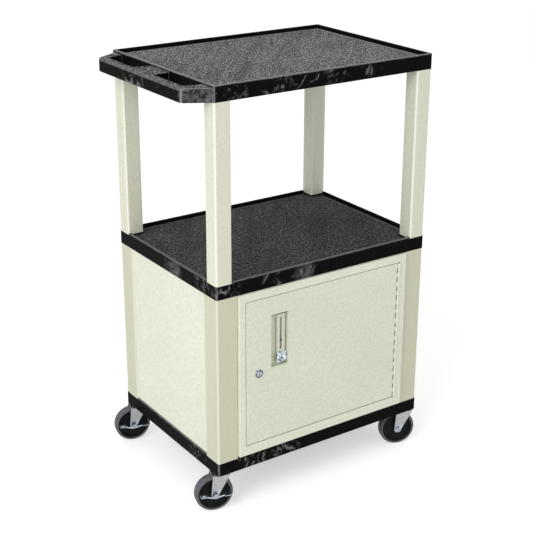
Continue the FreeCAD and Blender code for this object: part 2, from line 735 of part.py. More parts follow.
def pull_lever():
    """Two upright bars joined at both ends, on a barrel round the pivot pin."""
    piece = new_body("pull_lever")
    width = "sizes.lever_width"
    thick = "sizes.lever_thickness"
    block(piece, "lever_bars", (width, thick, "sizes.lever_length"),
          (centred(width), centred(thick), "-sizes.lever_length"))
    slot_foot = "(-sizes.lever_barrel_diameter / 2 - sizes.lever_thickness - sizes.lever_slot_length)"
    block(piece, "lever_slot", ("sizes.lever_slot_width", thick, "sizes.lever_slot_length"),
          (centred("sizes.lever_slot_width"), centred(thick), slot_foot), cut=True)
    round_bar(piece, "lever_barrel", "sizes.lever_barrel_diameter", width,
              (centred(width), "0", "0"), axis="X")
    bore = "sizes.lever_pin_diameter + 2 * sizes.running_clearance"
    round_bar(piece, "lever_bore", bore, width, (centred(width), "0", "0"), axis="X", cut=True)
    place(piece, LEVER_X, LEVER_PIN_Y, LEVER_PIN_Z)
    return piece


def pull_grip():
    """The finger grip on the front of the lever's foot."""
    piece = new_body("pull_grip")
    width = "sizes.grip_width"
    block(piece, "grip_block", (width, "sizes.grip_thickness", "sizes.grip_height"),
          (centred(width), "-sizes.grip_thickness", "sizes.grip_overlap - sizes.grip_height"))
    front = -amount("sizes.grip_thickness")
    fillet(piece, "sizes.grip_edge_radius", lambda edge: lies_at(edge, "Y", front), "grip_edges")
    place(piece, LEVER_X, LEVER_FRONT, LEVER_FOOT)
    return piece


def pull_pin():
    """The pivot pin between the two side walls of the tray."""
    piece = new_body("pull_pin")
    length = "(sizes.pull_width - 2 * sizes.pull_sheet)"
    round_bar(piece, "pull_pin_rod", "sizes.lever_pin_diameter", length,
              (centred(length), "0", "0"), axis="X")
    place(piece, PULL_CENTRE, LEVER_PIN_Y, LEVER_PIN_Z)
    return piece


# Cam lock: every piece lies on one axis, along +Y from the door's face


def lock():
    """Lock body, nut, key plug, cam and cam screw."""
    barrel = new_body("lock_body")
    head = "sizes.lock_head_thickness"
    bore = "sizes.lock_plug_diameter + 2 * sizes.running_clearance"
    round_bar(barrel, "lock_head", "sizes.lock_head_diameter", head, ("0", f"-{head}", "0"), axis="Y")
    front = -amount(head)
    fillet(barrel, f"{head} / 3", lambda edge: lies_at(edge, "Y", front), "lock_head_edge")
    round_bar(barrel, "lock_shank", "sizes.lock_shank_diameter", "sizes.lock_shank_length",
              ("0", "0", "0"), axis="Y")
    round_bar(barrel, "lock_bore", bore, f"sizes.lock_shank_length + {head}", ("0", f"-{head}", "0"),
              axis="Y", cut=True)
    place(barrel, LOCK_X, FACE_Y, LOCK_Z)

    nut = new_body("lock_nut")
    round_bar(nut, "lock_nut_disc", "sizes.lock_nut_width", "sizes.lock_nut_thickness",
              ("0", "sizes.door_sheet", "0"), axis="Y")
    round_bar(nut, "lock_nut_bore", "sizes.lock_shank_diameter", "sizes.lock_nut_thickness",
              ("0", "sizes.door_sheet", "0"), axis="Y", cut=True)
    place(nut, LOCK_X, FACE_Y, LOCK_Z)

    plug = new_body("lock_plug")
    plug_front = f"(-{head} - sizes.lock_plug_proud)"
    plug_back = "(sizes.lock_shank_length + sizes.cam_gap)"
    round_bar(plug, "lock_plug_rod", "sizes.lock_plug_diameter", f"{plug_back} - {plug_front}",
              ("0", plug_front, "0"), axis="Y")
    block(plug, "keyway", ("sizes.keyway_width", "sizes.keyway_depth", "sizes.keyway_height"),
          (centred("sizes.keyway_width"), plug_front, centred("sizes.keyway_height")), cut=True)
    place(plug, LOCK_X, FACE_Y, LOCK_Z)

    cam = new_body("lock_cam")
    half = "sizes.cam_width / 2"
    block(cam, "cam_blade", ("sizes.cam_width", "sizes.cam_thickness", "sizes.cam_length"),
          (f"-{half}", "0", f"-{half}"))
    fillet(cam, "sizes.cam_width / 2.1", lambda edge: edge.BoundBox.YLength > 1e-4, "cam_ends")
    place(cam, LOCK_X, CAM_FRONT, LOCK_Z)

    screw = new_body("cam_screw")
    round_bar(screw, "cam_screw_head", "sizes.cam_screw_head_diameter", "sizes.cam_screw_head_height",
              ("0", "sizes.cam_thickness", "0"), axis="Y")
    place(screw, LOCK_X, CAM_FRONT, LOCK_Z)


# Casters


def caster_axis(signs):
    """X and Y of a caster's swivel axis."""
    x = f"{signs[0]} * ({HALF_LENGTH} - sizes.caster_side_inset)"
    y = f"{signs[1]} * ({HALF_DEPTH} - sizes.caster_front_inset)"
    return x, y


def place_in_caster(piece, corner, on_axle=False):
    """Put a caster piece on its swivel axis, or on the axle with its own Z along the axle."""
    angle = CASTER_ANGLES[corner]
    turn = FreeCAD.Rotation(FreeCAD.Vector(0, 0, 1), angle)
    x, y = caster_axis(CORNERS[corner])
    z = "0"
    if on_axle:
        turn = turn.multiply(axis_turn("Y"))
        x = f"{x} - sizes.caster_trail * cos({angle})"
        y = f"{y} - sizes.caster_trail * sin({angle})"
        z = WHEEL_RADIUS
    piece.Placement = FreeCAD.Placement(FreeCAD.Vector(), turn)
    place(piece, x, y, z)


def stem(corner):
    """Threaded stem, swivel flange, kingpin and kingpin head in one turned piece."""
    piece = new_body(f"caster_stem_{corner}")
    flange_foot = f"({BASE_LEVEL} - sizes.swivel_gap + sizes.swivel_play)"
    head_top = f"({CROWN_LEVEL} - sizes.swivel_play)"
    head_foot = f"({head_top} - sizes.kingpin_head_height)"
    head = "sizes.kingpin_head_diameter / 2"
    pin = "sizes.kingpin_diameter / 2"
    flange = "sizes.swivel_flange_diameter / 2"
    thread = "sizes.stem_diameter / 2"
    sketch = sketch_on(piece, "XZ_Plane", f"stem_profile_{corner}")
    draw_outline(sketch, [
        ("0", head_foot),
        (head, head_foot),
        (head, head_top),
        (pin, head_top),
        (pin, flange_foot),
        (flange, flange_foot),
        (flange, RECESS_ROOF),
        (thread, RECESS_ROOF),
        (thread, f"{RECESS_ROOF} + sizes.stem_length"),
        ("0", f"{RECESS_ROOF} + sizes.stem_length"),
    ])
    spin(piece, sketch, f"stem_turning_{corner}")
    place_in_caster(piece, corner)


def stem_sockets():
    """The four threaded sockets in the bottom shelf's corner bosses, as one group."""
    tubes = []
    for corner, signs in CORNERS.items():
        outside = document.addObject("Part::Cylinder", f"socket_outside_{corner}")
        inside = document.addObject("Part::Cylinder", f"socket_inside_{corner}")
        x, y = caster_axis(signs)
        for item, diameter in ((outside, "sizes.socket_diameter"), (inside, "sizes.stem_diameter")):
            bind(item, {"Radius": f"{diameter} / 2", "Height": "sizes.socket_length"})
            place(item, x, y, RECESS_ROOF)
        tube = document.addObject("Part::Cut", f"socket_{corner}")
        tube.Base = outside
        tube.Tool = inside
        tubes.append(tube)
    group = document.addObject("Part::Compound", "stem_sockets")
    group.Links = tubes
    sub_parts.append(group)


def fork(corner):
    """A pressed fork: a crown on the kingpin and two legs down to the axle."""
    piece = new_body(f"caster_fork_{corner}")
    foot = "sizes.fork_foot_width / 2"
    foot_z = f"({WHEEL_RADIUS} - sizes.fork_foot_drop)"
    crown_top = f"({CROWN_LEVEL} + sizes.fork_sheet)"
    sketch = sketch_on(piece, "XZ_Plane", f"fork_side_{corner}")
    draw_outline(sketch, [
        (f"-sizes.caster_trail - {foot}", foot_z),
        (f"-sizes.caster_trail + {foot}", foot_z),
        (f"-sizes.caster_trail + {foot}", WHEEL_RADIUS),
        ("sizes.fork_front_reach", CROWN_LEVEL),
        ("sizes.fork_front_reach", crown_top),
        ("-sizes.fork_rear_reach", crown_top),
        (f"-sizes.caster_trail - {foot}", WHEEL_RADIUS),
    ])
    pad(piece, sketch, FORK_WIDTH, f"fork_blank_{corner}", symmetric=True)
    top = amount(crown_top)
    bottom = amount(foot_z)
    fillet(piece, "sizes.fork_foot_radius",
           lambda edge: lies_at(edge, "Z", bottom) and edge.BoundBox.YLength > 1, f"fork_feet_{corner}")
    fillet(piece, "sizes.fork_bend_radius",
           lambda edge: lies_at(edge, "Z", top) and edge.BoundBox.XLength > 1, f"fork_bends_{corner}")
    reach = "(sizes.fork_front_reach + sizes.fork_rear_reach + sizes.fork_foot_width)"
    block(piece, f"fork_throat_{corner}", (f"2 * {reach}", FORK_GAP, CROWN_LEVEL),
          (f"-{reach}", centred(FORK_GAP), "0"), cut=True)
    round_bar(piece, f"fork_axle_hole_{corner}", "sizes.axle_diameter", FORK_WIDTH,
              ("-sizes.caster_trail", centred(FORK_WIDTH), WHEEL_RADIUS), axis="Y", cut=True)
    round_bar(piece, f"fork_pivot_hole_{corner}", "sizes.kingpin_diameter + 2 * sizes.running_clearance",
              "2 * sizes.fork_sheet", ("0", "0", f"{CROWN_LEVEL} - sizes.fork_sheet / 2"), cut=True)
    place_in_caster(piece, corner)


def axle(corner):
    """The axle bolt, with its head on the outer side and the nut on the other."""
    near_side = BRAKE_SIDE if corner in BRAKED_CASTERS else f"({FORK_WIDTH} / 2)"
    if corner in BRAKED_CASTERS:
        near_side = f"({near_side} + sizes.brake_sheet + sizes.brake_gap)"
    bolt = new_body(f"caster_axle_{corner}")
    far_side = f"({FORK_WIDTH} / 2 + sizes.axle_nut_height)"
    round_bar(bolt, f"axle_shank_{corner}", "sizes.axle_diameter", f"{near_side} + {far_side}",
              ("0", "0", f"-{near_side}"))
    hexagon(bolt, f"axle_head_{corner}", "sizes.axle_head_width", "sizes.axle_head_height",
            f"-{near_side} - sizes.axle_head_height")
    place_in_caster(bolt, corner, on_axle=True)
    nut = new_body(f"caster_nut_{corner}")
    hexagon(nut, f"axle_nut_{corner}", "sizes.axle_head_width", "sizes.axle_nut_height",
            f"{FORK_WIDTH} / 2")
    round_bar(nut, f"axle_nut_bore_{corner}", "sizes.axle_diameter", "sizes.axle_nut_height",
              ("0", "0", f"{FORK_WIDTH} / 2"), cut=True)
    place_in_caster(nut, corner, on_axle=True)


def hexagon(piece, name, across_flats, height, low):
    """A hexagonal prism on the piece's own Z axis."""
    feature = piece.newObject("PartDesign::AdditivePrism", name)
    feature.Polygon = 6
    bind(feature, {"Circumradius": f"{across_flats} / 2 / cos(30)", "Height": height})
    place(feature, z=low)


def bush(corner):
    """The sleeve on the axle that the hub turns on."""
    piece = new_body(f"caster_bush_{corner}")
    low = centred(FORK_GAP)
    round_bar(piece, f"bush_outside_{corner}", "sizes.bush_diameter", FORK_GAP, ("0", "0", low))
    round_bar(piece, f"bush_bore_{corner}", "sizes.axle_diameter", FORK_GAP, ("0", "0", low), cut=True)
    place_in_caster(piece, corner, on_axle=True)


def hub(corner):
    """A dished wheel hub with a bored boss and a rim for the tyre."""
    piece = new_body(f"wheel_hub_{corner}")
    bore = "(sizes.bush_diameter / 2 + sizes.running_clearance)"
    boss = "sizes.hub_boss_diameter / 2"
    rim = "sizes.hub_diameter / 2"
    rim_inside = f"({rim} - sizes.hub_rim_wall)"
    upper_half = [
        (bore, "sizes.hub_boss_length / 2"),
        (boss, "sizes.hub_boss_length / 2"),
        (boss, "sizes.hub_web / 2"),
        (rim_inside, "sizes.hub_web / 2"),
        (rim_inside, "sizes.hub_rim_width / 2"),
        (rim, "sizes.hub_rim_width / 2"),
    ]
    lower_half = [(radius, f"-{height}") for radius, height in reversed(upper_half)]
    sketch = sketch_on(piece, "XZ_Plane", f"hub_profile_{corner}")
    draw_outline(sketch, upper_half + lower_half)
    spin(piece, sketch, f"hub_turning_{corner}")
    place_in_caster(piece, corner, on_axle=True)


def tyre(corner):
    """The tyre round the hub, with rounded shoulders."""
    piece = new_body(f"wheel_tyre_{corner}")
    tread = "sizes.wheel_diameter / 2"
    half = "sizes.tread_width / 2"
    sketch = sketch_on(piece, "XZ_Plane", f"tyre_profile_{corner}")
    draw_outline(sketch, rectangle("sizes.hub_diameter / 2", f"-{half}", tread, half))
    spin(piece, sketch, f"tyre_turning_{corner}")
    radius = amount(tread)
    fillet(piece, "sizes.tread_radius",
           lambda edge: near(edge.BoundBox.XMax, radius) and edge.BoundBox.ZLength < 1e-4,
           f"tyre_shoulders_{corner}")
    place_in_caster(piece, corner, on_axle=True)


def brake_lever(corner):
    """A rocking side lever on the axle bolt, with a pedal bent out at each end."""
    piece = new_body(f"brake_lever_{corner}")
    half = "sizes.brake_half_length"
    hub_half = "sizes.brake_hub_half_width"
    arm = "sizes.brake_arm_height"
    rear = "sizes.brake_rear_rise"
    front = "sizes.brake_front_rise"
    sketch = sketch_on(piece, "XZ_Plane", f"brake_outline_{corner}")
    draw_outline(sketch, [
        (f"-{half}", f"{rear} - {arm}"),
        (f"-{hub_half} / 2", "-sizes.brake_dip"),
        (f"{hub_half} / 2", "-sizes.brake_dip"),
        (half, f"{front} - {arm}"),
        (half, front),
        (hub_half, "-sizes.brake_shoulder_drop"),
        (f"{hub_half} / 1.2", "sizes.brake_hub_rise"),
        (f"-{hub_half} / 1.2", "sizes.brake_hub_rise"),
        (f"-{hub_half}", "-sizes.brake_shoulder_drop"),
        (f"-{half}", rear),
    ])
    sketch.setExpression("AttachmentOffset.Base.z", BRAKE_SIDE)
    pad(piece, sketch, "sizes.brake_sheet", f"brake_plate_{corner}")
    outside = f"(-{BRAKE_SIDE} - sizes.brake_sheet)"
    pedal = ("sizes.pedal_length", "sizes.pedal_width + sizes.brake_sheet / 2", "sizes.brake_sheet")
    pedal_y = f"({outside} - sizes.pedal_width)"
    block(piece, f"rear_pedal_{corner}", pedal, (f"-{half}", pedal_y, f"{rear} - sizes.brake_sheet"))
    block(piece, f"front_pedal_{corner}", pedal,
          (f"{half} - sizes.pedal_length", pedal_y, f"{front} - sizes.brake_sheet"))
    slot = ("sizes.pedal_slot_length", "sizes.pedal_slot_width", "2 * sizes.brake_sheet")
    slot_corner = (f"-{half} + (sizes.pedal_length - sizes.pedal_slot_length) / 2",
                   f"{pedal_y} + (sizes.pedal_width - sizes.pedal_slot_width) / 2",
                   f"{rear} - 1.5 * sizes.brake_sheet")
    block(piece, f"pedal_slot_{corner}", slot, slot_corner, cut=True)
    bore = "sizes.axle_diameter + 2 * sizes.running_clearance"
    round_bar(piece, f"brake_bore_{corner}", bore, "2 * sizes.brake_sheet",
              ("0", f"{outside} - sizes.brake_sheet / 2", "0"), axis="Y", cut=True)
    angle = CASTER_ANGLES[corner]
    piece.Placement = FreeCAD.Placement(FreeCAD.Vector(), FreeCAD.Rotation(FreeCAD.Vector(0, 0, 1), angle))
    x, y = caster_axis(CORNERS[corner])
    place(piece, f"{x} - sizes.caster_trail * cos({angle})", f"{y} - sizes.caster_trail * sin({angle})",
          WHEEL_RADIUS)


# Assembly

bottom_shelf()
shelf("middle_shelf", MIDDLE_LEVEL, "sizes.upper_leg_width", "sizes.lower_leg_width")
top_shelf()
for corner, signs in CORNERS.items():
    leg(f"lower_leg_{corner}", signs, "sizes.lower_leg_width", "sizes.lower_leg_radius",
        f"{BASE_LEVEL} + {SEAT_HEIGHT}")
    leg(f"upper_leg_{corner}", signs, "sizes.upper_leg_width", "sizes.upper_leg_radius",
        f"{MIDDLE_LEVEL} + {SEAT_HEIGHT}")
panel("left_panel", SIDE_SPAN, -90, f"-{HALF_LENGTH} + sizes.panel_setback", "0")
panel("right_panel", SIDE_SPAN, 90, f"{HALF_LENGTH} - sizes.panel_setback", "0")
panel("back_panel", FRONT_SPAN, 180, "0", f"{HALF_DEPTH} - sizes.panel_setback")
door_frame()
door()
hinge()
pull_pan()
pull_lever()
pull_grip()
pull_pin()
lock()
stem_sockets()
for corner in CORNERS:
    stem(corner)
    fork(corner)
    axle(corner)
    bush(corner)
    hub(corner)
    tyre(corner)
for corner in BRAKED_CASTERS:
    brake_lever(corner)
document.recompute()

for item in document.Objects:
    if "Invalid" in item.State or "Error" in item.State:
        raise RuntimeError(f"{item.Label} did not rebuild")
for piece in sub_parts:
    if piece.Shape.isNull() or not piece.Shape.isValid():
        raise RuntimeError(f"{piece.Label} is not a valid solid")

os.makedirs("parts", exist_ok=True)
for piece in sub_parts:
    piece.Shape.exportStep(f"parts/{piece.Label}.step")
    print(f"{piece.Label}: {len(piece.Shape.Solids)} solid, {piece.Shape.Volume / 1000:.1f} cm3")
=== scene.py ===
import json
import math

import bmesh
import bpy
from bpy.props import FloatProperty, FloatVectorProperty, IntProperty, PointerProperty
from mathutils import Matrix, Vector

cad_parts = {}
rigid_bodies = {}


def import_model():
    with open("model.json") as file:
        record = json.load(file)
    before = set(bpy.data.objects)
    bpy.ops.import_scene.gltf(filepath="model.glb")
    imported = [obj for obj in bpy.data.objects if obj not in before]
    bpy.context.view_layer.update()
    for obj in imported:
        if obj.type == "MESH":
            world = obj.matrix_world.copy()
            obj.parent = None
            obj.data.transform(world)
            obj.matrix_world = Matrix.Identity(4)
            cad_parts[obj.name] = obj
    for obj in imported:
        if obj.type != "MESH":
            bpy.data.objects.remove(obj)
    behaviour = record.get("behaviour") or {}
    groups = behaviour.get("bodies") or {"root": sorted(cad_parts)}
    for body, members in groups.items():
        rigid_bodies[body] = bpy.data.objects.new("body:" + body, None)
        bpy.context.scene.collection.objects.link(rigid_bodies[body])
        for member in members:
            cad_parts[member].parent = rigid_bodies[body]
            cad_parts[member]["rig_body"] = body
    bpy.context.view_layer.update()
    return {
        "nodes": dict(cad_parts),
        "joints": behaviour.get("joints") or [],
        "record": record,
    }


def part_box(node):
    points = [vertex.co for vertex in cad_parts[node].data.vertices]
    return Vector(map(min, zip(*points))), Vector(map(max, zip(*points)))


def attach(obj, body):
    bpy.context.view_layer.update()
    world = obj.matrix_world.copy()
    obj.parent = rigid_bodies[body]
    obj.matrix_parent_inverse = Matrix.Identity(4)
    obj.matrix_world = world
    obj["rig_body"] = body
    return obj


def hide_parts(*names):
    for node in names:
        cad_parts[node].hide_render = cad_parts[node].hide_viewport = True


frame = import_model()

bl_info = {
    "name": "Audio-visual cart",
    "version": (1, 0, 0),
    "blender": (4, 5, 0),
    "location": "View3D > Sidebar > Cart",
    "description": "Dresses the cart's solids with finishes and fine detail and sets the stage",
    "category": "Object",
}

CORNERS = ("front_left", "front_right", "back_left", "back_right")
BRAKED = ("front_left", "back_left")
SLOT_OF = {item["node"]: item["material_slot"] for item in frame["record"]["subparts"]}
FINISHES = {}
MM = 0.001


# Settings

LENGTH = {"subtype": "DISTANCE", "unit": "LENGTH"}
ANGLE = {"subtype": "ANGLE", "unit": "ROTATION"}
POWER = {"subtype": "POWER", "unit": "POWER", "min": 0}


def tint(name, description, default):
    """A colour that the user may change."""
    return FloatVectorProperty(
        name=name, description=description, default=default, subtype="COLOR", size=3, min=0, max=1)


class CartFinishes(bpy.types.PropertyGroup):
    """Colours and surface scales of the cart's finishes."""

    shelf_colour: tint("Shelf black", "Moulded black of the shelves", (0.004, 0.004, 0.0044))
    # The scuff tone also serves the painted highlights on the edges and the lower rim tops.
    scuff_and_highlight_colour: tint("Shelf scuffs", "Pale swirls and scuffs in the black", (0.240, 0.240, 0.246))
    # The deck greys are partly the pebbled surface and partly painted sheen on upward faces.
    deck_colour: tint("Top deck grey", "Rubbed pebbles on the top shelf", (0.196, 0.196, 0.197))
    # The lower decks' darker grey is painted shade under the shelf above.
    shaded_deck_colour: tint(
        "Lower deck grey", "Rubbed pebbles on the shelves below", (0.091, 0.091, 0.092))
    leg_colour: tint("Upper leg cream", "Cream of the slender upper legs", (0.79, 0.79, 0.64))
    # The lower legs' darker cream is painted shade nearer the floor.
    lower_leg_shaded_colour: tint(
        "Lower leg cream", "Cream of the wide lower legs", (0.668, 0.658, 0.492))
    # Painted highlight on the legs' rounded corners.
    leg_highlight_colour: tint("Leg edges", "Pale rubbed corners of the legs", (0.96, 0.96, 0.86))
    cabinet_colour: tint(
        "Cabinet cream", "Coating of the cabinet walls and door frame", (0.84, 0.85, 0.705))
    door_colour: tint("Door cream", "Coating of the door", (0.80, 0.82, 0.665))
    zinc_colour: tint("Zinc", "Plating of forks, bolts and brake levers", (0.40, 0.395, 0.415))
    chrome_colour: tint("Chrome", "Plating of the pull's grip and the lock", (0.74, 0.82, 0.87))
    # Painted shade in grooves and slots, and painted dark reflection on the chrome.
    shade_and_reflection_colour: tint(
        "Grime", "Dark film in grooves and on rubbed plating", (0.030, 0.036, 0.040))
    tyre_colour: tint("Tyre grey", "Rubber of the tyres", (0.085, 0.083, 0.097))
    hub_colour: tint("Hub black", "Plastic of the wheel hubs", (0.004, 0.004, 0.0052))
    pebble_size: FloatProperty(
        name="Pebble size", description="Size of the pebbles on the shelf mouldings", min=0.0002,
        default=0.0016, **LENGTH)
    peel_size: FloatProperty(
        name="Orange peel", description="Ripple size of the sprayed coating", min=0.0005,
        default=0.0035, **LENGTH)


class CartDetail(bpy.types.PropertyGroup):
    """Sizes of the fine detail."""

    moulded_edge: FloatProperty(
        name="Moulded edge", description="Rounding of the plastic edges", min=0, default=0.0012,
        **LENGTH)
    sheet_edge: FloatProperty(
        name="Sheet edge", description="Rounding of the sheet-metal edges", min=0, default=0.0004,
        **LENGTH)
    hinge_pairs: IntProperty(
        name="Hinge knuckle pairs", description="Knuckle pairs along the door's hinge", min=1,
        default=15)
    knuckle_gap: FloatProperty(
        name="Knuckle gap", description="Play between two knuckles", min=0, default=0.0004,
        **LENGTH)
    turning_steps: IntProperty(
        name="Turning steps", description="Steps round a turned piece", min=12, default=96)


class CartStage(bpy.types.PropertyGroup):
    """Camera and light."""

    azimuth: FloatProperty(
        name="Azimuth", description="Bearing of the camera round the cart",
        default=math.radians(-34.326), **ANGLE)
    elevation: FloatProperty(
        name="Elevation", description="Height of the camera above the horizon",
        default=math.radians(20.742), **ANGLE)
    roll: FloatProperty(
        name="Roll", description="Turn of the camera about its own line of sight",
        default=math.radians(0.164), **ANGLE)
    distance: FloatProperty(
        name="Distance", description="From the aim point to the camera", default=3.0423, **LENGTH)
    aim: FloatVectorProperty(
        name="Aim point", description="Point that the camera looks at", subtype="XYZ",
        unit="LENGTH", size=3, default=(-0.00903, 0.0, 0.55196))
    lens: FloatProperty(
        name="Lens", description="Focal length on a 36 mm sensor, in mm", default=81.165)
    shift_y: FloatProperty(
        name="Shift", description="Vertical shift of the lens", default=-0.04)
    key_power: FloatProperty(
        name="Key light", description="Power of the large left-hand light", default=90.0, **POWER)
    fill_power: FloatProperty(
        name="Fill light", description="Power of the front light", default=14.0, **POWER)
    sky: FloatProperty(
        name="Sky", description="Strength of the even light all round", min=0, default=0.56)
    floor_glow: FloatProperty(
        name="Floor white", description="What the floor lacks to white, as seen", min=0, max=1,
        default=0.48)


# Places in the frame


def joint_frame(name):
    """The place of a joint, with Z along its axis."""
    joint = next(item for item in frame["joints"] if item["name"] == name)
    axis = Vector(joint["axis"]).normalized()
    return Matrix.Translation(joint["pos_m"]) @ axis.to_track_quat("Z", "Y").to_matrix().to_4x4()


def turned_sizes(node, place):
    """Inner radius, outer radius and half width of a CAD node about an axis."""
    inverse = place.inverted()
    points = [inverse @ vertex.co for vertex in frame["nodes"][node].data.vertices]
    radii = [point.to_2d().length for point in points]
    return min(radii), max(radii), max(point.z for point in points)


# Nodes

NOISE_SPAN = (0.3, 0.7)  # holds most values of a noise
SPOT_CORE = 0.45  # share of a spot's reach before it starts to fade


class Nodes:
    """A node tree under construction."""

    def __init__(self, tree):
        self.tree = tree

    def feed(self, socket, value):
        """Link an output to an input, or set the input's own value."""
        if isinstance(value, bpy.types.NodeSocket):
            self.tree.links.new(value, socket)
        else:
            socket.default_value = value

    def node(self, kind, inputs=None, **settings):
        """A new node with its properties set and its inputs fed."""
        made = self.tree.nodes.new(kind)
        for key, value in settings.items():
            setattr(made, key, value)
        for key, value in (inputs or {}).items():
            self.feed(made.inputs[key], value)
        return made

    def maths(self, operation, first, second):
        """The result of one operation on two values."""
        made = self.node("ShaderNodeMath", {0: first, 1: second}, operation=operation)
        return made.outputs["Value"]

    def times(self, first, *others):
        """Product of several values."""
        for other in others:
            first = self.maths("MULTIPLY", first, other)
        return first

    def most(self, first, *others):
        """Largest of several values."""
        for other in others:
            first = self.maths("MAXIMUM", first, other)
        return first

    def ramp(self, value, low, high, start=0.0, end=1.0):
        """A value re-scaled from low..high to start..end, and held there beyond them."""
        made = self.node("ShaderNodeMapRange", {
            "Value": value, "From Min": low, "From Max": high, "To Min": start, "To Max": end})
        return made.outputs["Result"]

    def between(self, share, start, end):
        """A share of 0 to 1 re-scaled to start..end."""
        return self.ramp(share, 0.0, 1.0, start, end)


class Finish(Nodes):
    """A material under construction: a Principled shader with helpers for its textures."""

    def __init__(self, name):
        self.material = bpy.data.materials.new(name)
        self.material.use_nodes = True
        super().__init__(self.material.node_tree)
        self.shader = self.tree.nodes["Principled BSDF"]
        self.place = self.node("ShaderNodeTexCoord").outputs["Object"]

    def stretched(self, scale, turn=0.0):
        """Object coordinates turned about Z and then stretched."""
        made = self.node("ShaderNodeMapping", {
            "Vector": self.place,
            "Rotation": (0.0, 0.0, turn),
            "Scale": [1.0 / factor for factor in scale],
        }, vector_type="TEXTURE")
        return made.outputs["Vector"]

    def noise(self, scale, detail=4.0, roughness=0.55, distortion=0.0, where=None):
        """Fractal noise, as a value."""
        made = self.node("ShaderNodeTexNoise", {
            "Vector": where or self.place, "Scale": scale, "Detail": detail,
            "Roughness": roughness, "Distortion": distortion})
        return made.outputs["Fac"]

    def cells(self, scale, feature="F1"):
        """Distance to scattered points, as a value."""
        made = self.node(
            "ShaderNodeTexVoronoi", {"Vector": self.place, "Scale": scale}, feature=feature)
        return made.outputs["Distance"]

    def spread(self, noise, start=0.0, end=1.0):
        """A noise re-scaled to start..end from the span that holds most of it."""
        return self.ramp(noise, *NOISE_SPAN, start, end)

    def past(self, axis, start, full, share=1.0):
        """0 up to one coordinate on an axis, rising to a share at another."""
        parts = self.node("ShaderNodeSeparateXYZ", {"Vector": self.place})
        return self.ramp(parts.outputs[axis], start, full, 0.0, share)

    def facing(self, axis, low, high):
        """1 on faces that look along an axis and 0 on the others, by two limits of the normal."""
        normal = self.node("ShaderNodeNewGeometry").outputs["Normal"]
        parts = self.node("ShaderNodeSeparateXYZ", {"Vector": normal})
        return self.ramp(parts.outputs[axis], low, high)

    def spots(self, places):
        """1 at each of several (point, reach) places, falling to 0 at the reach."""
        fades = []
        for point, reach in places:
            away = self.node(
                "ShaderNodeVectorMath", {0: self.place, 1: point}, operation="DISTANCE")
            fades.append(self.ramp(away.outputs["Value"], SPOT_CORE * reach, reach, 1.0, 0.0))
        return self.most(*fades)

    def marked(self, name):
        """Share of a mark that the mesh carries on its faces."""
        return self.node("ShaderNodeAttribute", attribute_name=name).outputs["Fac"]

    def mix(self, share, first, second):
        """Two colours mixed by a value; each is a colour or an output."""
        made = self.node("ShaderNodeMix", {"Factor": share}, data_type="RGBA")
        sockets = [socket for socket in made.inputs if socket.type == "RGBA"]
        for socket, colour in zip(sockets, (first, second)):
            linked = isinstance(colour, bpy.types.NodeSocket)
            self.feed(socket, colour if linked else (*colour, 1.0))
        return next(socket for socket in made.outputs if socket.type == "RGBA")

    def give(self, name, value):
        """Feed one of the shader's own inputs with an output or a constant."""
        self.feed(self.shader.inputs[name], value)

    def bumps(self, *layers):
        """Stack bump layers, each of height output, depth in metres and strength."""
        below = {}
        for height, depth, strength in layers:
            made = self.node("ShaderNodeBump", {
                "Height": height, "Distance": depth, "Strength": strength, **below})
            below = {"Normal": made.outputs["Normal"]}
        self.give("Normal", below["Normal"])


def shade(colour, factor):
    """A colour made lighter or darker."""
    return tuple(min(1.0, channel * factor) for channel in colour)


# Finish of the shelf mouldings

RIM = 7.2 * MM  # from a shelf's outside to the inner face of its rim
LINE = 0.4 * MM  # softness of a border in the finish
FOOT_LINE = (9.0 * MM, 6.0 * MM)  # start and full strength of the pale line beside a rim
TOP_TIER = (0.80, 0.81)  # heights between the middle and the top shelf
HANDLE_FADE = 2 * MM  # border of the handle's tone, left of the shelf
HANDLE_END = (-0.10, -0.12)  # Y at which the handle's front end starts
SLOTS = (2 * MM, 42 * MM)  # finger slots, from the shelf's left side
SLOT_FADE = 1 * MM
GRAIN_TURN = math.radians(-34)
FLOW_TURN = math.radians(50)

# Point and reach of each scuffed patch on the skirts and the handle
SCUFFED = (
    ((-0.250, -0.229, 1.020), 0.035), ((-0.140, -0.229, 1.025), 0.055),
    ((-0.052, -0.229, 1.022), 0.055), ((0.020, -0.229, 1.035), 0.035),
    ((0.116, -0.229, 1.028), 0.017), ((-0.374, 0.020, 1.020), 0.066),
    ((-0.335, -0.205, 1.025), 0.055), ((-0.060, -0.229, 0.572), 0.045),
    ((-0.150, -0.229, 0.572), 0.035), ((-0.275, -0.229, 0.564), 0.040),
    ((-0.305, -0.030, 0.570), 0.045), ((-0.305, -0.165, 0.572), 0.035),
    ((-0.305, -0.130, 0.118), 0.050), ((-0.200, -0.229, 0.118), 0.060),
    ((-0.110, -0.229, 0.115), 0.050),
)
# Point and reach of each broadly rubbed patch on the middle shelf's skirts
BUFFED = (((-0.062, -0.229, 0.570), 0.032), ((-0.305, -0.045, 0.570), 0.034))


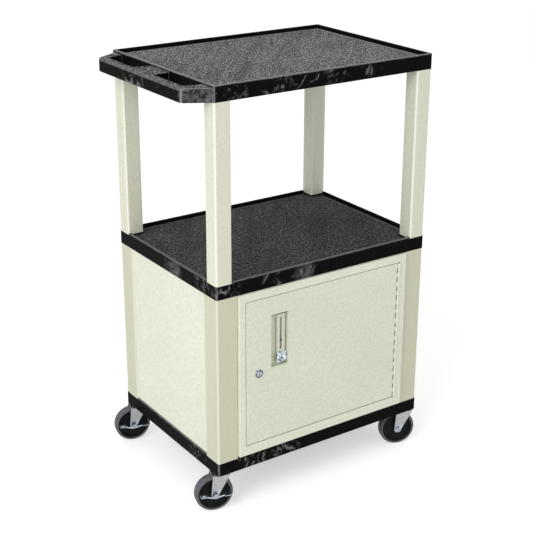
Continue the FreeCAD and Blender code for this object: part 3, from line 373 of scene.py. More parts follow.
class MouldedBlack(Finish):
    """Pebbled black polymer: pale scuffs, edges partly rubbed and partly painted highlight, decks
    grey partly as painted sheen and darker below as painted shade.
    """

    def __init__(self, settings):
        super().__init__("moulded_black")
        self.settings = settings
        self.low, self.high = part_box("middle_shelf")
        self.inner_right, self.inner_back = self.high.x - RIM, self.high.y - RIM
        self.handle = self.past("X", self.low.x, self.low.x - HANDLE_FADE)
        self.top = self.past("Z", *TOP_TIER)

    def shaded_below(self, low_colour, top_colour):
        """One colour on the lower shelves and another on the top shelf: the darker lower colour is
        painted shade under the shelf above.
        """
        return self.mix(self.top, low_colour, top_colour)

    def lit_side(self):
        """1 everywhere but on the right and back rims, which stay black: the painted sheen and
        highlights fall only on the front and left.
        """
        clean = self.most(self.past("X", self.inner_right, self.inner_right + LINE),
                          self.past("Y", self.inner_back, self.inner_back + LINE))
        return self.between(clean, 1.0, 0.0)

    def handle_end(self):
        """Mottled front end of the handle, with a painted highlight on the crease above it."""
        end = self.times(self.handle, self.past("Y", *HANDLE_END))
        mottle = self.noise(62.0, detail=6.0, roughness=0.72)
        nose = self.times(self.facing("Y", -0.42, -0.52),
                          self.ramp(mottle, 0.40, 0.62, 0.02, 0.52))
        # Painted highlight where the end turns into the top.
        crease = self.times(self.facing("Y", -0.30, -0.42), self.facing("Y", -0.72, -0.58))
        return self.times(end, self.most(nose, crease))

    def skirts(self):
        """Black sides with pale swirling smears."""
        swirl = self.noise(20.0, detail=7.0, roughness=0.68, distortion=3.0)
        scuffed = self.times(self.spots(SCUFFED), self.ramp(swirl, 0.53, 0.66))
        buffed = self.times(self.spots(BUFFED), self.ramp(swirl, 0.36, 0.62, 0.08, 0.43))
        stray = self.ramp(swirl, 0.62, 0.76, 0.0, 0.25)
        smears = self.most(scuffed, stray, buffed, self.handle_end())
        return self.mix(smears, self.settings.shelf_colour, self.settings.scuff_and_highlight_colour)

    def pebbled_grey(self):
        """Grain of the decks: grey pebbles with dark pits and bright tops, which are partly painted
        shade and highlight of the pebbles and partly rubbing.
        """
        low, top = self.settings.shaded_deck_colour, self.settings.deck_colour
        # The lower decks' darker grey is painted shade under the shelf above.
        grey = self.mix(self.handle, self.shaded_below(low, top), shade(top, 0.6))
        cloud = self.ramp(self.noise(4.2, detail=3.0, distortion=1.2), 0.42, 0.62, 0.0, 0.6)
        clouded = self.times(cloud, self.between(self.top, 1.0, 0.25))
        grey = self.mix(clouded, grey, shade(low, 0.4))
        grain = self.noise(225.0, detail=3.0, roughness=0.7,
                           where=self.stretched((1.0, 0.58, 1.0), GRAIN_TURN))
        # Dark pits and bright tops: partly painted shade and highlight of the pebbles.
        pits = shade(self.settings.shelf_colour, 7.0)
        deck = self.mix(self.ramp(grain, 0.40, 0.49), pits, grey)
        tops = self.shaded_below(shade(low, 2.0), shade(top, 2.5))
        return self.mix(self.ramp(grain, 0.52, 0.60, 0.0, 0.9), deck, tops)

    def foot_lines(self):
        """Broken pale lines on the decks beside the right and back rims."""
        start, full = FOOT_LINE
        lines = self.most(
            self.past("X", self.inner_right - start, self.inner_right - full),
            self.past("Y", self.inner_back - start, self.inner_back - full, share=0.35))
        breaks = self.ramp(self.noise(24.0, detail=3.0), 0.36, 0.56, 0.25, 0.85)
        return self.times(lines, breaks)

    def rim_tops(self):
        """The tops of the front and left rims, which take a painted highlight."""
        front, left = self.low.y + RIM, self.low.x + RIM
        return self.most(self.past("Y", front, front - LINE),
                         self.times(self.past("X", left, left - LINE),
                                    self.past("X", self.low.x - LINE, self.low.x)))

    def decks(self):
        """Pebbled decks with dark flow streaks, pale lines beside the right and back rims and a
        painted highlight on the front and left rim tops.
        """
        low, top = self.settings.shaded_deck_colour, self.settings.deck_colour
        flow = self.noise(5.0, detail=6.0, roughness=0.6, distortion=0.8,
                          where=self.stretched((1.0, 6.0, 1.0), FLOW_TURN))
        streaks = self.ramp(flow, 0.48, 0.64, 0.0, 0.45)
        deck = self.mix(streaks, self.pebbled_grey(), shade(low, 0.5))
        foot_tone = self.shaded_below(shade(low, 2.4), shade(top, 2.2))
        deck = self.mix(self.foot_lines(), deck, foot_tone)
        # Painted highlight on the front and left rim tops.
        rim_tone = self.shaded_below(shade(self.settings.scuff_and_highlight_colour, 0.82), shade(top, 2.0))
        return self.mix(self.between(self.rim_tops(), 0.0, 0.7), deck, rim_tone)

    def rubbed_and_highlit_edges(self, lit_side):
        """Pale edges in patches, partly rubbing and partly painted highlight, outside the finger
        slots.
        """
        first, last = (self.low.x - reach for reach in SLOTS)
        slots = self.times(self.past("X", first + SLOT_FADE, first),
                           self.past("X", last - SLOT_FADE, last))
        rubs = self.spread(self.noise(55.0, detail=4.0), 0.25, 0.95)
        return self.times(self.marked("edge"), lit_side, self.between(slots, 1.0, 0.0), rubs)


def moulded_black(settings):
    """The finish of the shelves."""
    finish = MouldedBlack(settings)
    lit_side = finish.lit_side()
    # Upward faces take the deck grey, partly the pebbled surface and partly painted sheen.
    upward = finish.times(finish.facing("Z", 0.72, 0.96), lit_side)
    cover = finish.mix(upward, finish.skirts(), finish.decks())
    # The pale edges are partly rubbing and partly painted highlight.
    rub_and_highlight_tone = shade(settings.scuff_and_highlight_colour, 0.9)
    finish.give("Base Color", finish.mix(finish.rubbed_and_highlit_edges(lit_side), cover, rub_and_highlight_tone))
    finish.give("Roughness", finish.between(upward, 0.50, 0.86))
    pebbles = finish.cells(1.0 / settings.pebble_size, feature="SMOOTH_F1")
    finish.bumps((pebbles, 0.35 * MM, 0.45), (finish.noise(2200.0, detail=2.0), 0.1 * MM, 0.25))
    finish.give("Specular IOR Level", 0.02)
    return finish.material


# Other finishes

CREAM_GRAIN = 140.0  # noise scale of the fine grain on cream surfaces
DIP_BLACK = (0.008, 0.008, 0.010)  # plastic that the brake levers' tips are dipped in


def cream_coat(name, colour, settings):
    """Satin powder coat on sheet steel, with painted shade where the mesh is marked as a groove."""
    finish = Finish(name)
    cloud = finish.noise(6.0, detail=3.0)
    base = finish.mix(finish.spread(cloud), shade(colour, 0.98), shade(colour, 1.05))
    grain = finish.noise(CREAM_GRAIN, detail=3.0, roughness=0.7)
    base = finish.mix(finish.ramp(grain, 0.42, 0.58, 0.0, 0.45), base, shade(colour, 0.82))
    specks = finish.noise(420.0, detail=2.0)
    coated = finish.mix(finish.ramp(specks, 0.62, 0.74, 0.0, 0.25), base, shade(colour, 0.86))
    # Painted shade for the marked faces.
    painted_shade = shade(settings.shade_and_reflection_colour, 3.0)
    finish.give("Base Color", finish.mix(finish.marked("groove"), coated, painted_shade))
    finish.give("Roughness", finish.spread(cloud, 0.36, 0.46))
    finish.bumps((finish.noise(1.0 / settings.peel_size, detail=2.0), 0.3 * MM, 0.10))
    return finish.material


def cream_tube(settings):
    """Cream plastic of the hollow legs, with faint drawing lines, a painted highlight on the
    corners and painted shade on the lower legs.
    """
    finish = Finish("cream_tube")
    dark = settings.lower_leg_shaded_colour
    cloud = finish.noise(7.0, detail=3.0)
    streaks = finish.noise(60.0, detail=3.0, where=finish.stretched((1.0, 1.0, 0.02)))
    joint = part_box("upper_leg_front_left")[0].z
    tier = finish.past("Z", joint - 10 * MM, joint - 5 * MM)
    # The lower legs take the darker cream as painted shade.
    base = finish.mix(tier, dark, settings.leg_colour)
    base = finish.mix(finish.ramp(streaks, 0.35, 0.65, 0.0, 0.08), base, shade(dark, 0.7))
    grain = finish.noise(CREAM_GRAIN, detail=3.0, roughness=0.7)
    base = finish.mix(finish.ramp(grain, 0.50, 0.62, 0.0, 0.28), base, shade(dark, 0.85))
    scuffs = finish.noise(26.0, detail=6.0, roughness=0.7)
    base = finish.mix(finish.ramp(scuffs, 0.64, 0.78, 0.0, 0.3), base, shade(dark, 0.88))
    # Painted highlight on the rounded corners, weaker on the lower legs.
    rubbed = finish.times(finish.marked("edge"), finish.between(tier, 0.45, 0.85))
    finish.give("Base Color", finish.mix(rubbed, base, settings.leg_highlight_colour))
    finish.give("Roughness", finish.spread(cloud, 0.38, 0.50))
    finish.bumps((streaks, 0.2 * MM, 0.06), (finish.noise(900.0, detail=2.0), 0.1 * MM, 0.08))
    return finish.material


def zinc_plate(name, colour, rough):
    """Zinc plating with soft spangle and stains, a painted bright bluish highlight round the axles
    and painted shade on marked faces.
    """
    finish = Finish(name)
    axle = joint_frame("roll_front_left").translation.z
    # Painted highlight: lighter, bluer plating near the axle.
    low = finish.past("Z", axle + 14 * MM, axle + 5 * MM)
    cloud = finish.noise(45.0, detail=5.0)
    base = finish.mix(
        finish.ramp(finish.cells(210.0), 0.2, 0.8), shade(colour, 0.88), shade(colour, 1.1))
    bright = (colour[0] * 1.22, colour[1] * 1.36, colour[2] * 1.45)
    stain = finish.ramp(cloud, 0.56, 0.74, 0.0, 0.35)
    plated = finish.mix(stain, finish.mix(low, base, bright), shade(colour, 0.66))
    # Painted shade where the mesh is marked as a groove.
    shade_marked = finish.mix(finish.marked("groove"), plated, shade(colour, 0.2))
    dipped = finish.marked("dipped")
    finish.give("Base Color", finish.mix(dipped, shade_marked, DIP_BLACK))
    finish.give("Roughness", finish.spread(cloud, rough, rough + 0.16))
    finish.bumps((finish.noise(600.0, detail=3.0), 0.1 * MM, 0.08))
    finish.give("Metallic", finish.between(dipped, 1.0, 0.0))
    return finish.material


def bright_chrome(name, settings, dark_reflection):
    """Polished plating with wipe marks, painted shade in its grooves and painted dark reflection in
    patches.
    """
    finish = Finish(name)
    cloud = finish.noise(130.0, detail=3.0, distortion=1.6)
    wipes = finish.noise(300.0, detail=3.0, where=finish.stretched((0.1, 1.0, 1.0)))
    # Patches of painted dark reflection.
    patches = finish.ramp(cloud, 0.46, 0.56, 0.0, dark_reflection)
    plated = finish.mix(patches, settings.chrome_colour, settings.shade_and_reflection_colour)
    # Painted shade where the mesh is marked as a groove.
    finish.give("Base Color", finish.mix(finish.marked("groove"), plated, settings.shade_and_reflection_colour))
    finish.give("Roughness", finish.spread(wipes, 0.08, 0.20))
    finish.bumps((wipes, 0.05 * MM, 0.05))
    finish.give("Metallic", 1.0)
    return finish.material


def dark_steel():
    """Unplated steel of pins."""
    finish = Finish("pin_steel")
    cloud = finish.noise(150.0, detail=4.0)
    steel = finish.mix(finish.spread(cloud), (0.30, 0.29, 0.28), (0.46, 0.45, 0.44))
    finish.give("Base Color", steel)
    finish.give("Roughness", finish.spread(cloud, 0.32, 0.5))
    finish.bumps((cloud, 0.05 * MM, 0.1))
    finish.give("Metallic", 1.0)
    return finish.material


def tyre_rubber(settings):
    """Dusty grey rubber."""
    finish = Finish("tyre_rubber")
    dust = finish.noise(38.0, detail=6.0, roughness=0.68)
    colour = settings.tyre_colour
    rubber = finish.mix(finish.ramp(dust, 0.42, 0.72), colour, shade(colour, 1.9))
    finish.give("Base Color", rubber)
    finish.give("Roughness", finish.spread(dust, 0.62, 0.82))
    finish.bumps((finish.noise(1300.0, detail=3.0), 0.2 * MM, 0.3), (dust, 0.3 * MM, 0.1))
    return finish.material


def hub_plastic(settings):
    """Black moulded plastic of the hubs."""
    finish = Finish("hub_plastic")
    dust = finish.noise(55.0, detail=5.0, roughness=0.65)
    colour = settings.hub_colour
    plastic = finish.mix(finish.ramp(dust, 0.5, 0.75), colour, shade(colour, 3.0))
    finish.give("Base Color", plastic)
    finish.give("Roughness", finish.spread(dust, 0.36, 0.56))
    finish.bumps((finish.noise(1500.0, detail=2.0), 0.1 * MM, 0.2))
    finish.give("Specular IOR Level", 0.12)
    return finish.material


def finish_for(slot):
    """The finish of a material slot of the record, made once."""
    settings = bpy.context.scene.cart_finishes
    zinc = settings.zinc_colour
    pull_tone = shade(settings.door_colour, 0.9)
    makers = {
        "shelf_black": lambda: moulded_black(settings),
        "leg_cream": lambda: cream_tube(settings),
        "cabinet_paint": lambda: cream_coat("cabinet_coat", settings.cabinet_colour, settings),
        "door_paint": lambda: cream_coat("door_coat", settings.door_colour, settings),
        "hinge_paint": lambda: cream_coat("hinge_coat", settings.cabinet_colour, settings),
        "hinge_pin_steel": dark_steel,
        "pull_paint": lambda: cream_coat("pull_coat", pull_tone, settings),
        "pull_chrome": lambda: bright_chrome("pull_chrome", settings, dark_reflection=0.9),
        "zinc_steel": lambda: zinc_plate("zinc_hardware", zinc, rough=0.30),
        "lock_plating": lambda: bright_chrome("lock_plating", settings, dark_reflection=0.55),
        "caster_zinc": lambda: zinc_plate("caster_zinc", zinc, rough=0.26),
        "bolt_zinc": lambda: zinc_plate("bolt_zinc", shade(zinc, 0.72), rough=0.30),
        "hub_black": lambda: hub_plastic(settings),
        "tyre_grey": lambda: tyre_rubber(settings),
    }
    if slot not in FINISHES:
        FINISHES[slot] = makers[slot]()
    return FINISHES[slot]


# Mesh helpers

MERGE_REACH = 1e-6
FLAT_ANGLE = math.radians(0.5)  # faces that meet at less are one flat face


def add_piece(name, mesh, nodes):
    """Show a finished mesh in place of CAD nodes of one body and one slot."""
    slot = SLOT_OF[nodes[0]]
    mesh.materials.clear()
    mesh.materials.append(finish_for(slot))
    piece = bpy.data.objects.new(name, mesh)
    bpy.context.scene.collection.objects.link(piece)
    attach(piece, frame["nodes"][nodes[0]]["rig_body"])
    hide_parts(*nodes)
    return piece


def coat(node):
    """Give a CAD node the finish of its slot."""
    mesh = frame["nodes"][node].data
    mesh.materials.clear()
    mesh.materials.append(finish_for(SLOT_OF[node]))


def plain_mesh(name, holder):
    """The evaluated mesh of an object, which is then removed."""
    bpy.context.view_layer.update()
    evaluated = holder.evaluated_get(bpy.context.evaluated_depsgraph_get())
    mesh = bpy.data.meshes.new_from_object(evaluated)
    mesh.name = name
    bpy.data.objects.remove(holder)
    return mesh


def rounded(name, mesh, width=0.0, segments=3, angle=40.0):
    """A smooth-shaded mesh with its sharp edges rounded and its flats kept flat."""
    holder = bpy.data.objects.new(name, mesh)
    bpy.context.scene.collection.objects.link(holder)
    for polygon in mesh.polygons:
        polygon.use_smooth = True
    if width > 0:
        bevel = holder.modifiers.new("edges", "BEVEL")
        bevel.width = width
        bevel.segments = segments
        bevel.limit_method = "ANGLE"
        bevel.angle_limit = math.radians(angle)
    normals = holder.modifiers.new("normals", "WEIGHTED_NORMAL")
    normals.weight = 100
    normals.keep_sharp = True
    return plain_mesh(name, holder)


def merged_copy(node):
    """A joined-up copy of a CAD node's mesh, with its flat faces whole again."""
    work = bmesh.new()
    work.from_mesh(frame["nodes"][node].data)
    bmesh.ops.remove_doubles(work, verts=work.verts, dist=MERGE_REACH)
    bmesh.ops.dissolve_limit(work, angle_limit=FLAT_ANGLE, verts=work.verts, edges=work.edges)
    return to_mesh(work, f"{node}_copy")


def mark(mesh, name, chosen):
    """Mark the faces of a mesh that a test chooses, for its finish."""
    work = bmesh.new()
    work.from_mesh(mesh)
    shares = [1.0 if chosen(face) else 0.0 for face in work.faces]
    work.free()
    mesh.attributes.new(name, "FLOAT", "FACE").data.foreach_set("value", shares)


def soften(node, width):
    """Show a CAD node with rounded edges."""
    name = f"{node}_softened"
    return add_piece(name, rounded(name, merged_copy(node), width), [node])


def to_mesh(work, name, place=None):
    """Move a bmesh to its place, if one is given, and turn it into a mesh."""
    if place is not None:
        bmesh.ops.transform(work, matrix=place, verts=work.verts)
    mesh = bpy.data.meshes.new(name)
    work.to_mesh(mesh)
    work.free()
    return mesh


def bridge(work, here, there):
    """Faces between two closed rows of points."""
    for index in range(len(here)):
        after = (index + 1) % len(here)
        work.faces.new((here[index], there[index], there[after], here[after]))


def turned(name, profile, steps, place):
    """A closed ring turned from a closed profile of (radius, height) about the Z of a place."""
    work = bmesh.new()
    rows = []
    for step in range(steps):
        angle = 2 * math.pi * step / steps
        rows.append([work.verts.new((r * math.cos(angle), r * math.sin(angle), z))
                     for r, z in profile])
    for step in range(steps):
        bridge(work, rows[step], rows[(step + 1) % steps])
    bmesh.ops.recalc_face_normals(work, faces=work.faces)
    return rounded(name, to_mesh(work, name, place))


def mirrored(upper):
    """A closed profile from its upper half."""
    return upper + [(r, -z) for r, z in reversed(upper)]


def add_box(work, low, high):
    """A box between two corners."""
    centre = [(a + b) / 2 for a, b in zip(low, high)]
    size = [b - a for a, b in zip(low, high)]
    matrix = Matrix.Translation(centre) @ Matrix.Diagonal((*size, 1.0))
    bmesh.ops.create_cube(work, size=1.0, matrix=matrix)


def add_rod(work, start, end, radius, steps):
    """A cylinder between two points."""
    first, last = Vector(start), Vector(end)
    along = last - first
    turn = along.to_track_quat("Z", "Y").to_matrix().to_4x4()
    bmesh.ops.create_cone(
        work, cap_ends=True, segments=steps, radius1=radius, radius2=radius, depth=along.length,
        matrix=Matrix.Translation((first + last) / 2) @ turn)


# Shapes of the fine pieces

SHOULDER_STEPS = 8
LOCK_STEPS = 64
RIVET_STEPS = 32
BARREL_STEPS = 40
KNUCKLE_SIDES = 28
LEAF_SHEET = 1.2 * MM
TAB_OVERLAP = 0.5 * MM  # how far a knuckle's tab runs into the leaf


def tyre_profile(inner, outer, half):
    """Section of a tyre: flat tread, round shoulders and a shallow groove beside the hub."""
    groove = 1.0 * MM
    shoulder = outer - inner - groove
    upper = [(inner, half - 1.4 * MM), (inner + 0.5 * MM, half - 0.6 * MM)]
    for step in range(SHOULDER_STEPS + 1):
        angle = math.radians(90 - 90 * step / SHOULDER_STEPS)
        upper.append((outer - shoulder + shoulder * math.cos(angle),
                      half - shoulder + shoulder * math.sin(angle)))
    return mirrored(upper)


def hub_profile(bore, outer, half):
    """Section of a hub: bored boss, dished web with a bead and a rim."""
    boss = 11.5 * MM
    web = 7.0 * MM
    rim = outer - 5.0 * MM
    lip = 11.5 * MM
    bead = web + 0.8 * MM
    boss_end = [(bore, half), (boss - 0.9 * MM, half), (boss, half - 0.8 * MM)]
    boss_foot = [(boss, web + 1.6 * MM), (boss + 1.6 * MM, web)]
    web_bead = [(boss + 10 * MM, web), (boss + 11 * MM, bead), (boss + 13 * MM, bead),
                (boss + 14 * MM, web)]
    rim_foot = [(rim - 2 * MM, web), (rim - 0.4 * MM, web + 1.4 * MM)]
    rim_lip = [(rim, lip - 0.7 * MM), (rim + 1.1 * MM, lip), (outer, lip)]
    return mirrored(boss_end + boss_foot + web_bead + rim_foot + rim_lip)


def lock_profile(place):
    """Section of the lock's body: bored shank and a head with a raised rim round a groove."""
    bore, outer, head = turned_sizes("lock_body", place)
    shank = 9.0 * MM
    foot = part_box("lock_body")[1].y - place.translation.y
    floor = head - 1.4 * MM
    shank_sides = [(bore, -foot), (shank, -foot), (shank, 0.0), (outer, 0.0)]
    rim = [(outer, head - 0.9 * MM), (outer - 0.3 * MM, head - 0.3 * MM),
           (outer - 0.9 * MM, head), (outer - 1.3 * MM, head - 0.1 * MM)]
    groove = [(outer - 1.7 * MM, floor), (bore + 1.2 * MM, floor)]
    collar = [(bore + 0.9 * MM, head - 0.2 * MM), (bore + 0.6 * MM, head), (bore, head)]
    return shank_sides + rim + groove + collar


def lever_mesh():
    """Two round-edged bars joined at the foot and at the barrel, with a rivet between them."""
    low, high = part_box("pull_lever")
    pin = joint_frame("pull_swing").translation
    thick, bar, inset = 2.0 * MM, 8.5 * MM, 1.0 * MM
    front, back = pin.y - thick, pin.y + thick
    neck = pin.z - 1 * MM
    left, right = low.x + inset, high.x - inset
    behind = back - 0.4 * MM
    foot, foot_top = low.z + 0.5 * MM, low.z + 19 * MM
    middle, height = (low.x + high.x) / 2, pin.z - 64 * MM
    plate, rivet = 4 * MM, 2.1 * MM
    plate_front, plate_back = front + 0.7 * MM, back - 0.7 * MM
    work = bmesh.new()
    add_box(work, (low.x, front, low.z), (low.x + bar, back, neck))
    add_box(work, (high.x - bar, front, low.z), (high.x, back, neck))
    add_box(work, (left, front + 1.6 * MM, pin.z - 6 * MM), (right, behind, neck))
    add_box(work, (left, front + 0.4 * MM, foot), (right, behind, foot_top))
    add_box(work, (middle - plate, plate_front, height - plate),
            (middle + plate, plate_back, height + plate))
    rivet_head = front - 0.3 * MM
    add_rod(work, (middle, rivet_head, height), (middle, back, height), rivet, RIVET_STEPS)
    add_rod(work, (low.x, pin.y, pin.z), (high.x, pin.y, pin.z), high.z - pin.z, BARREL_STEPS)
    mesh = rounded("pull_lever_bars", to_mesh(work, "pull_lever_bars"), 0.8 * MM)

    def on_plate(face):
        return all(max(abs(corner.co.x - middle), abs(corner.co.z - height)) < plate + 0.2 * MM
                   for corner in face.verts)

    # The rivet and its plate in the slot between the bars get painted shade.
    mark(mesh, "groove", on_plate)
    return mesh


def grip_mesh():
    """A bowed finger grip with a lip at its foot."""
    low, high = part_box("pull_grip")
    depth, height = high.y - low.y, high.z - low.z
    # Shares of the depth, from the back, and of the height
    section = ((0.0, 0.0), (0.0, 1.0), (0.55, 1.0), (0.72, 0.86), (0.80, 0.62), (0.80, 0.40),
               (0.86, 0.24), (1.0, 0.14), (1.0, 0.03), (0.92, 0.0))
    work = bmesh.new()
    left, right = ([work.verts.new((x, high.y - share * depth, low.z + rise * height))
                    for share, rise in section] for x in (low.x, high.x))
    work.faces.new(left)
    work.faces.new(list(reversed(right)))
    bridge(work, left, right)
    bmesh.ops.recalc_face_normals(work, faces=work.faces)
    mesh = to_mesh(work, "pull_grip_shell")
    return rounded("pull_grip_shell", mesh, 1.0 * MM, segments=4, angle=50.0)


KNUCKLE_INPUTS = {
    "Knuckles": "Int", "Pitch": "Float", "Knuckle length": "Float", "Barrel radius": "Float",
    "Leaf sheet": "Float", "Leaf width": "Float", "Leaf middle": "Float", "First": "Float",
    "Low end": "Float", "Height": "Float", "Axis": "Vector", "Finish": "Material",
}


class KnuckleRow(Nodes):
    """Node tree of a hinge leaf: a strip with a row of knuckles on its edge."""

    def __init__(self):
        super().__init__(bpy.data.node_groups.new("knuckle_row", "GeometryNodeTree"))
        sockets = self.tree.interface
        sockets.new_socket("Geometry", in_out="OUTPUT", socket_type="NodeSocketGeometry")
        for name, kind in KNUCKLE_INPUTS.items():
            sockets.new_socket(name, in_out="INPUT", socket_type=f"NodeSocket{kind}")
        self.sizes = self.node("NodeGroupInput").outputs
        self.radius = self.sizes["Barrel radius"]
        self.sheet = self.sizes["Leaf sheet"]
        self.leaf_middle = self.sizes["Leaf middle"]
        leaf = self.joined(self.row(self.knuckle()), self.strip())
        placed = self.moved(leaf, self.sizes["Axis"])
        real = self.node("GeometryNodeRealizeInstances", {"Geometry": placed})
        painted = self.node("GeometryNodeSetMaterial", {
            "Geometry": real.outputs["Geometry"], "Material": self.sizes["Finish"]})
        self.node("NodeGroupOutput", {0: painted.outputs["Geometry"]})

    def vector(self, x, y, z):
        """A vector from three values or outputs."""
        return self.node("ShaderNodeCombineXYZ", {"X": x, "Y": y, "Z": z}).outputs["Vector"]

    def moved(self, geometry, offset):
        """Geometry shifted by an offset."""
        made = self.node("GeometryNodeTransform", {"Geometry": geometry, "Translation": offset})
        return made.outputs["Geometry"]

    def block(self, size, centre):
        """A box of a size about a centre."""
        cube = self.node("GeometryNodeMeshCube", {"Size": size})
        return self.moved(cube.outputs["Mesh"], centre)

    def joined(self, *parts):
        """Several geometries as one."""
        made = self.node("GeometryNodeJoinGeometry")
        for part in parts:
            self.feed(made.inputs[0], part)
        return made.outputs[0]

    def knuckle(self):
        """A barrel with the tab that ties it to the leaf."""
        length = self.sizes["Knuckle length"]
        barrel = self.node("GeometryNodeMeshCylinder", {
            "Vertices": KNUCKLE_SIDES, "Radius": self.radius, "Depth": length})
        reach = self.maths("ADD", self.radius, TAB_OVERLAP)
        tab = self.block(self.vector(self.sheet, reach, length),
                         self.vector(self.leaf_middle, self.times(reach, 0.5), 0.0))
        return self.joined(barrel.outputs["Mesh"], tab)

    def row(self, knuckle):
        """Knuckles at a pitch up the hinge."""
        line = self.node("GeometryNodeMeshLine", {
            "Count": self.sizes["Knuckles"],
            "Start Location": self.vector(0.0, 0.0, self.sizes["First"]),
            "Offset": self.vector(0.0, 0.0, self.sizes["Pitch"]),
        }, mode="OFFSET")
        placed = self.node("GeometryNodeInstanceOnPoints", {
            "Points": line.outputs["Mesh"], "Instance": knuckle})
        return placed.outputs["Instances"]

    def strip(self):
        """The flat of the leaf behind the knuckles."""
        height = self.sizes["Height"]
        width = self.maths("SUBTRACT", self.sizes["Leaf width"], self.radius)
        depth = self.maths("ADD", self.radius, self.times(width, 0.5))
        level = self.maths("ADD", self.sizes["Low end"], self.times(height, 0.5))
        return self.block(self.vector(self.sheet, width, height),
                          self.vector(self.leaf_middle, depth, level))


def grown(name, tree, sizes):
    """The plain mesh that a node tree gives for a set of sizes."""
    holder = bpy.data.objects.new(name, bpy.data.meshes.new(name))
    bpy.context.scene.collection.objects.link(holder)
    modifier = holder.modifiers.new("row", "NODES")
    modifier.node_group = tree
    for socket in tree.interface.items_tree:
        if socket.in_out == "INPUT":
            modifier[socket.identifier] = sizes[socket.name]
    return plain_mesh(name, holder)


# Stage

WHITE = (1.0, 1.0, 1.0, 1.0)
FLOOR_GREY = (0.9, 0.9, 0.9, 1.0)
FLOOR_REACH = 30.0
KEY_PLACE = (-3.6, -1.7, 2.9)
FILL_PLACE = (1.2, -4.0, 1.7)
LAMP_SIZE = 2.6
LAMP_AIM = Vector((0, 0, 0.5))
SENSOR_WIDTH = 36.0
CLIP_END = 60.0


def seen_level(tree, unseen, seen):
    """One value for light that falls on things, another for what camera, mirrors and glass see."""
    nodes = Nodes(tree)
    path = nodes.node("ShaderNodeLightPath").outputs
    share = nodes.most(*(path[f"Is {ray} Ray"] for ray in ("Camera", "Glossy", "Transmission")))
    return nodes.between(share, unseen, seen)


def make_floor(glow):
    """A wide pale floor that looks white and keeps the cart's shadow."""
    work = bmesh.new()
    bmesh.ops.create_grid(work, x_segments=1, y_segments=1, size=FLOOR_REACH)
    mesh = to_mesh(work, "floor")
    floor = bpy.data.objects.new("floor", mesh)
    bpy.context.scene.collection.objects.link(floor)
    finish = Finish("floor_white")
    finish.give("Base Color", FLOOR_GREY)
    finish.give("Roughness", 0.9)
    finish.give("Specular IOR Level", 0.0)
    finish.give("Emission Color", WHITE)
    finish.give("Emission Strength", seen_level(finish.tree, 0.0, glow))
    mesh.materials.append(finish.material)


def make_sky(strength):
    """An even white surround that the camera, mirrors and glass see as white."""
    world = bpy.data.worlds.new("studio")
    bpy.context.scene.world = world
    world.use_nodes = True
    tree = world.node_tree
    background = tree.nodes["Background"]
    background.inputs["Color"].default_value = WHITE
    tree.links.new(seen_level(tree, strength, 1.0), background.inputs["Strength"])


def make_lamp(name, place, power):
    """A large soft square light aimed at the cart's middle."""
    light = bpy.data.lights.new(name, "AREA")
    light.size = LAMP_SIZE
    light.energy = power
    lamp = bpy.data.objects.new(name, light)
    lamp.location = place
    lamp.rotation_mode = "QUATERNION"
    lamp.rotation_quaternion = (LAMP_AIM - Vector(place)).to_track_quat("-Z", "Y")
    bpy.context.scene.collection.objects.link(lamp)


def make_camera(settings):
    """The camera at the photograph's angle."""
    turn, rise, roll = settings.azimuth, settings.elevation, settings.roll
    back = Vector((
        math.cos(rise) * math.sin(turn), -math.cos(rise) * math.cos(turn), math.sin(rise)))
    right = Vector((math.cos(turn), math.sin(turn), 0.0))
    up = back.cross(right)
    tilted_right = right * math.cos(roll) + up * math.sin(roll)
    tilted_up = up * math.cos(roll) - right * math.sin(roll)
    data = bpy.data.cameras.new("camera")
    data.sensor_width = SENSOR_WIDTH
    data.lens = settings.lens
    data.shift_y = settings.shift_y
    data.clip_end = CLIP_END
    camera = bpy.data.objects.new("camera", data)
    place = Matrix.Translation(Vector(settings.aim) + back * settings.distance)
    camera.matrix_world = place @ Matrix((tilted_right, tilted_up, back)).transposed().to_4x4()
    bpy.context.scene.collection.objects.link(camera)
    bpy.context.scene.camera = camera


# Operators

EDGE_WIDTHS = {
    "fork": 0.6 * MM, "stem": 0.5 * MM, "bolt": 0.7 * MM, "brake": 0.5 * MM, "pin": 0.3 * MM,
    "plug": 0.3 * MM, "cam": 0.4 * MM,
}
NARROW = 0.8 * MM  # area over perimeter, below which a face is part of a rounded edge
FLAT_SIDE = 0.97  # part of a normal along X or Y, from which a leg's face is a flat side
UPRIGHT = 0.2  # part of a normal along Z, below which a leg's face is upright
END_FACE = 0.9  # part of a normal along the axle, from which a bolt's face is an end
DIPPED_TIP = 7 * MM  # end of a brake lever that is dipped in plastic
# The plug's dark middle and the groove's film are painted shade.
PLUG_FACE = 5 * MM  # radius of the key plug's dark middle
HEAD_GROOVE = 9.7 * MM  # outer radius of the groove in the lock's head
GROOVE_SHADE_DEPTH = 0.35 * MM  # how far below the lock's head the groove's film starts


class CART_OT_shelves(bpy.types.Operator):
    """Round the edges of the shelf mouldings and give them their pebbled black"""

    bl_idname = "cart.shelves"
    bl_label = "Shelves"

    def execute(self, context):
        for node in ("bottom_shelf", "middle_shelf", "top_shelf"):
            piece = soften(node, context.scene.cart_detail.moulded_edge)
            # Narrow faces of the rounded edges, which take the pale tone of rubbing and painted
            # highlight.
            mark(piece.data, "edge",
                 lambda face: face.calc_area() < NARROW * face.calc_perimeter())
        return {"FINISHED"}


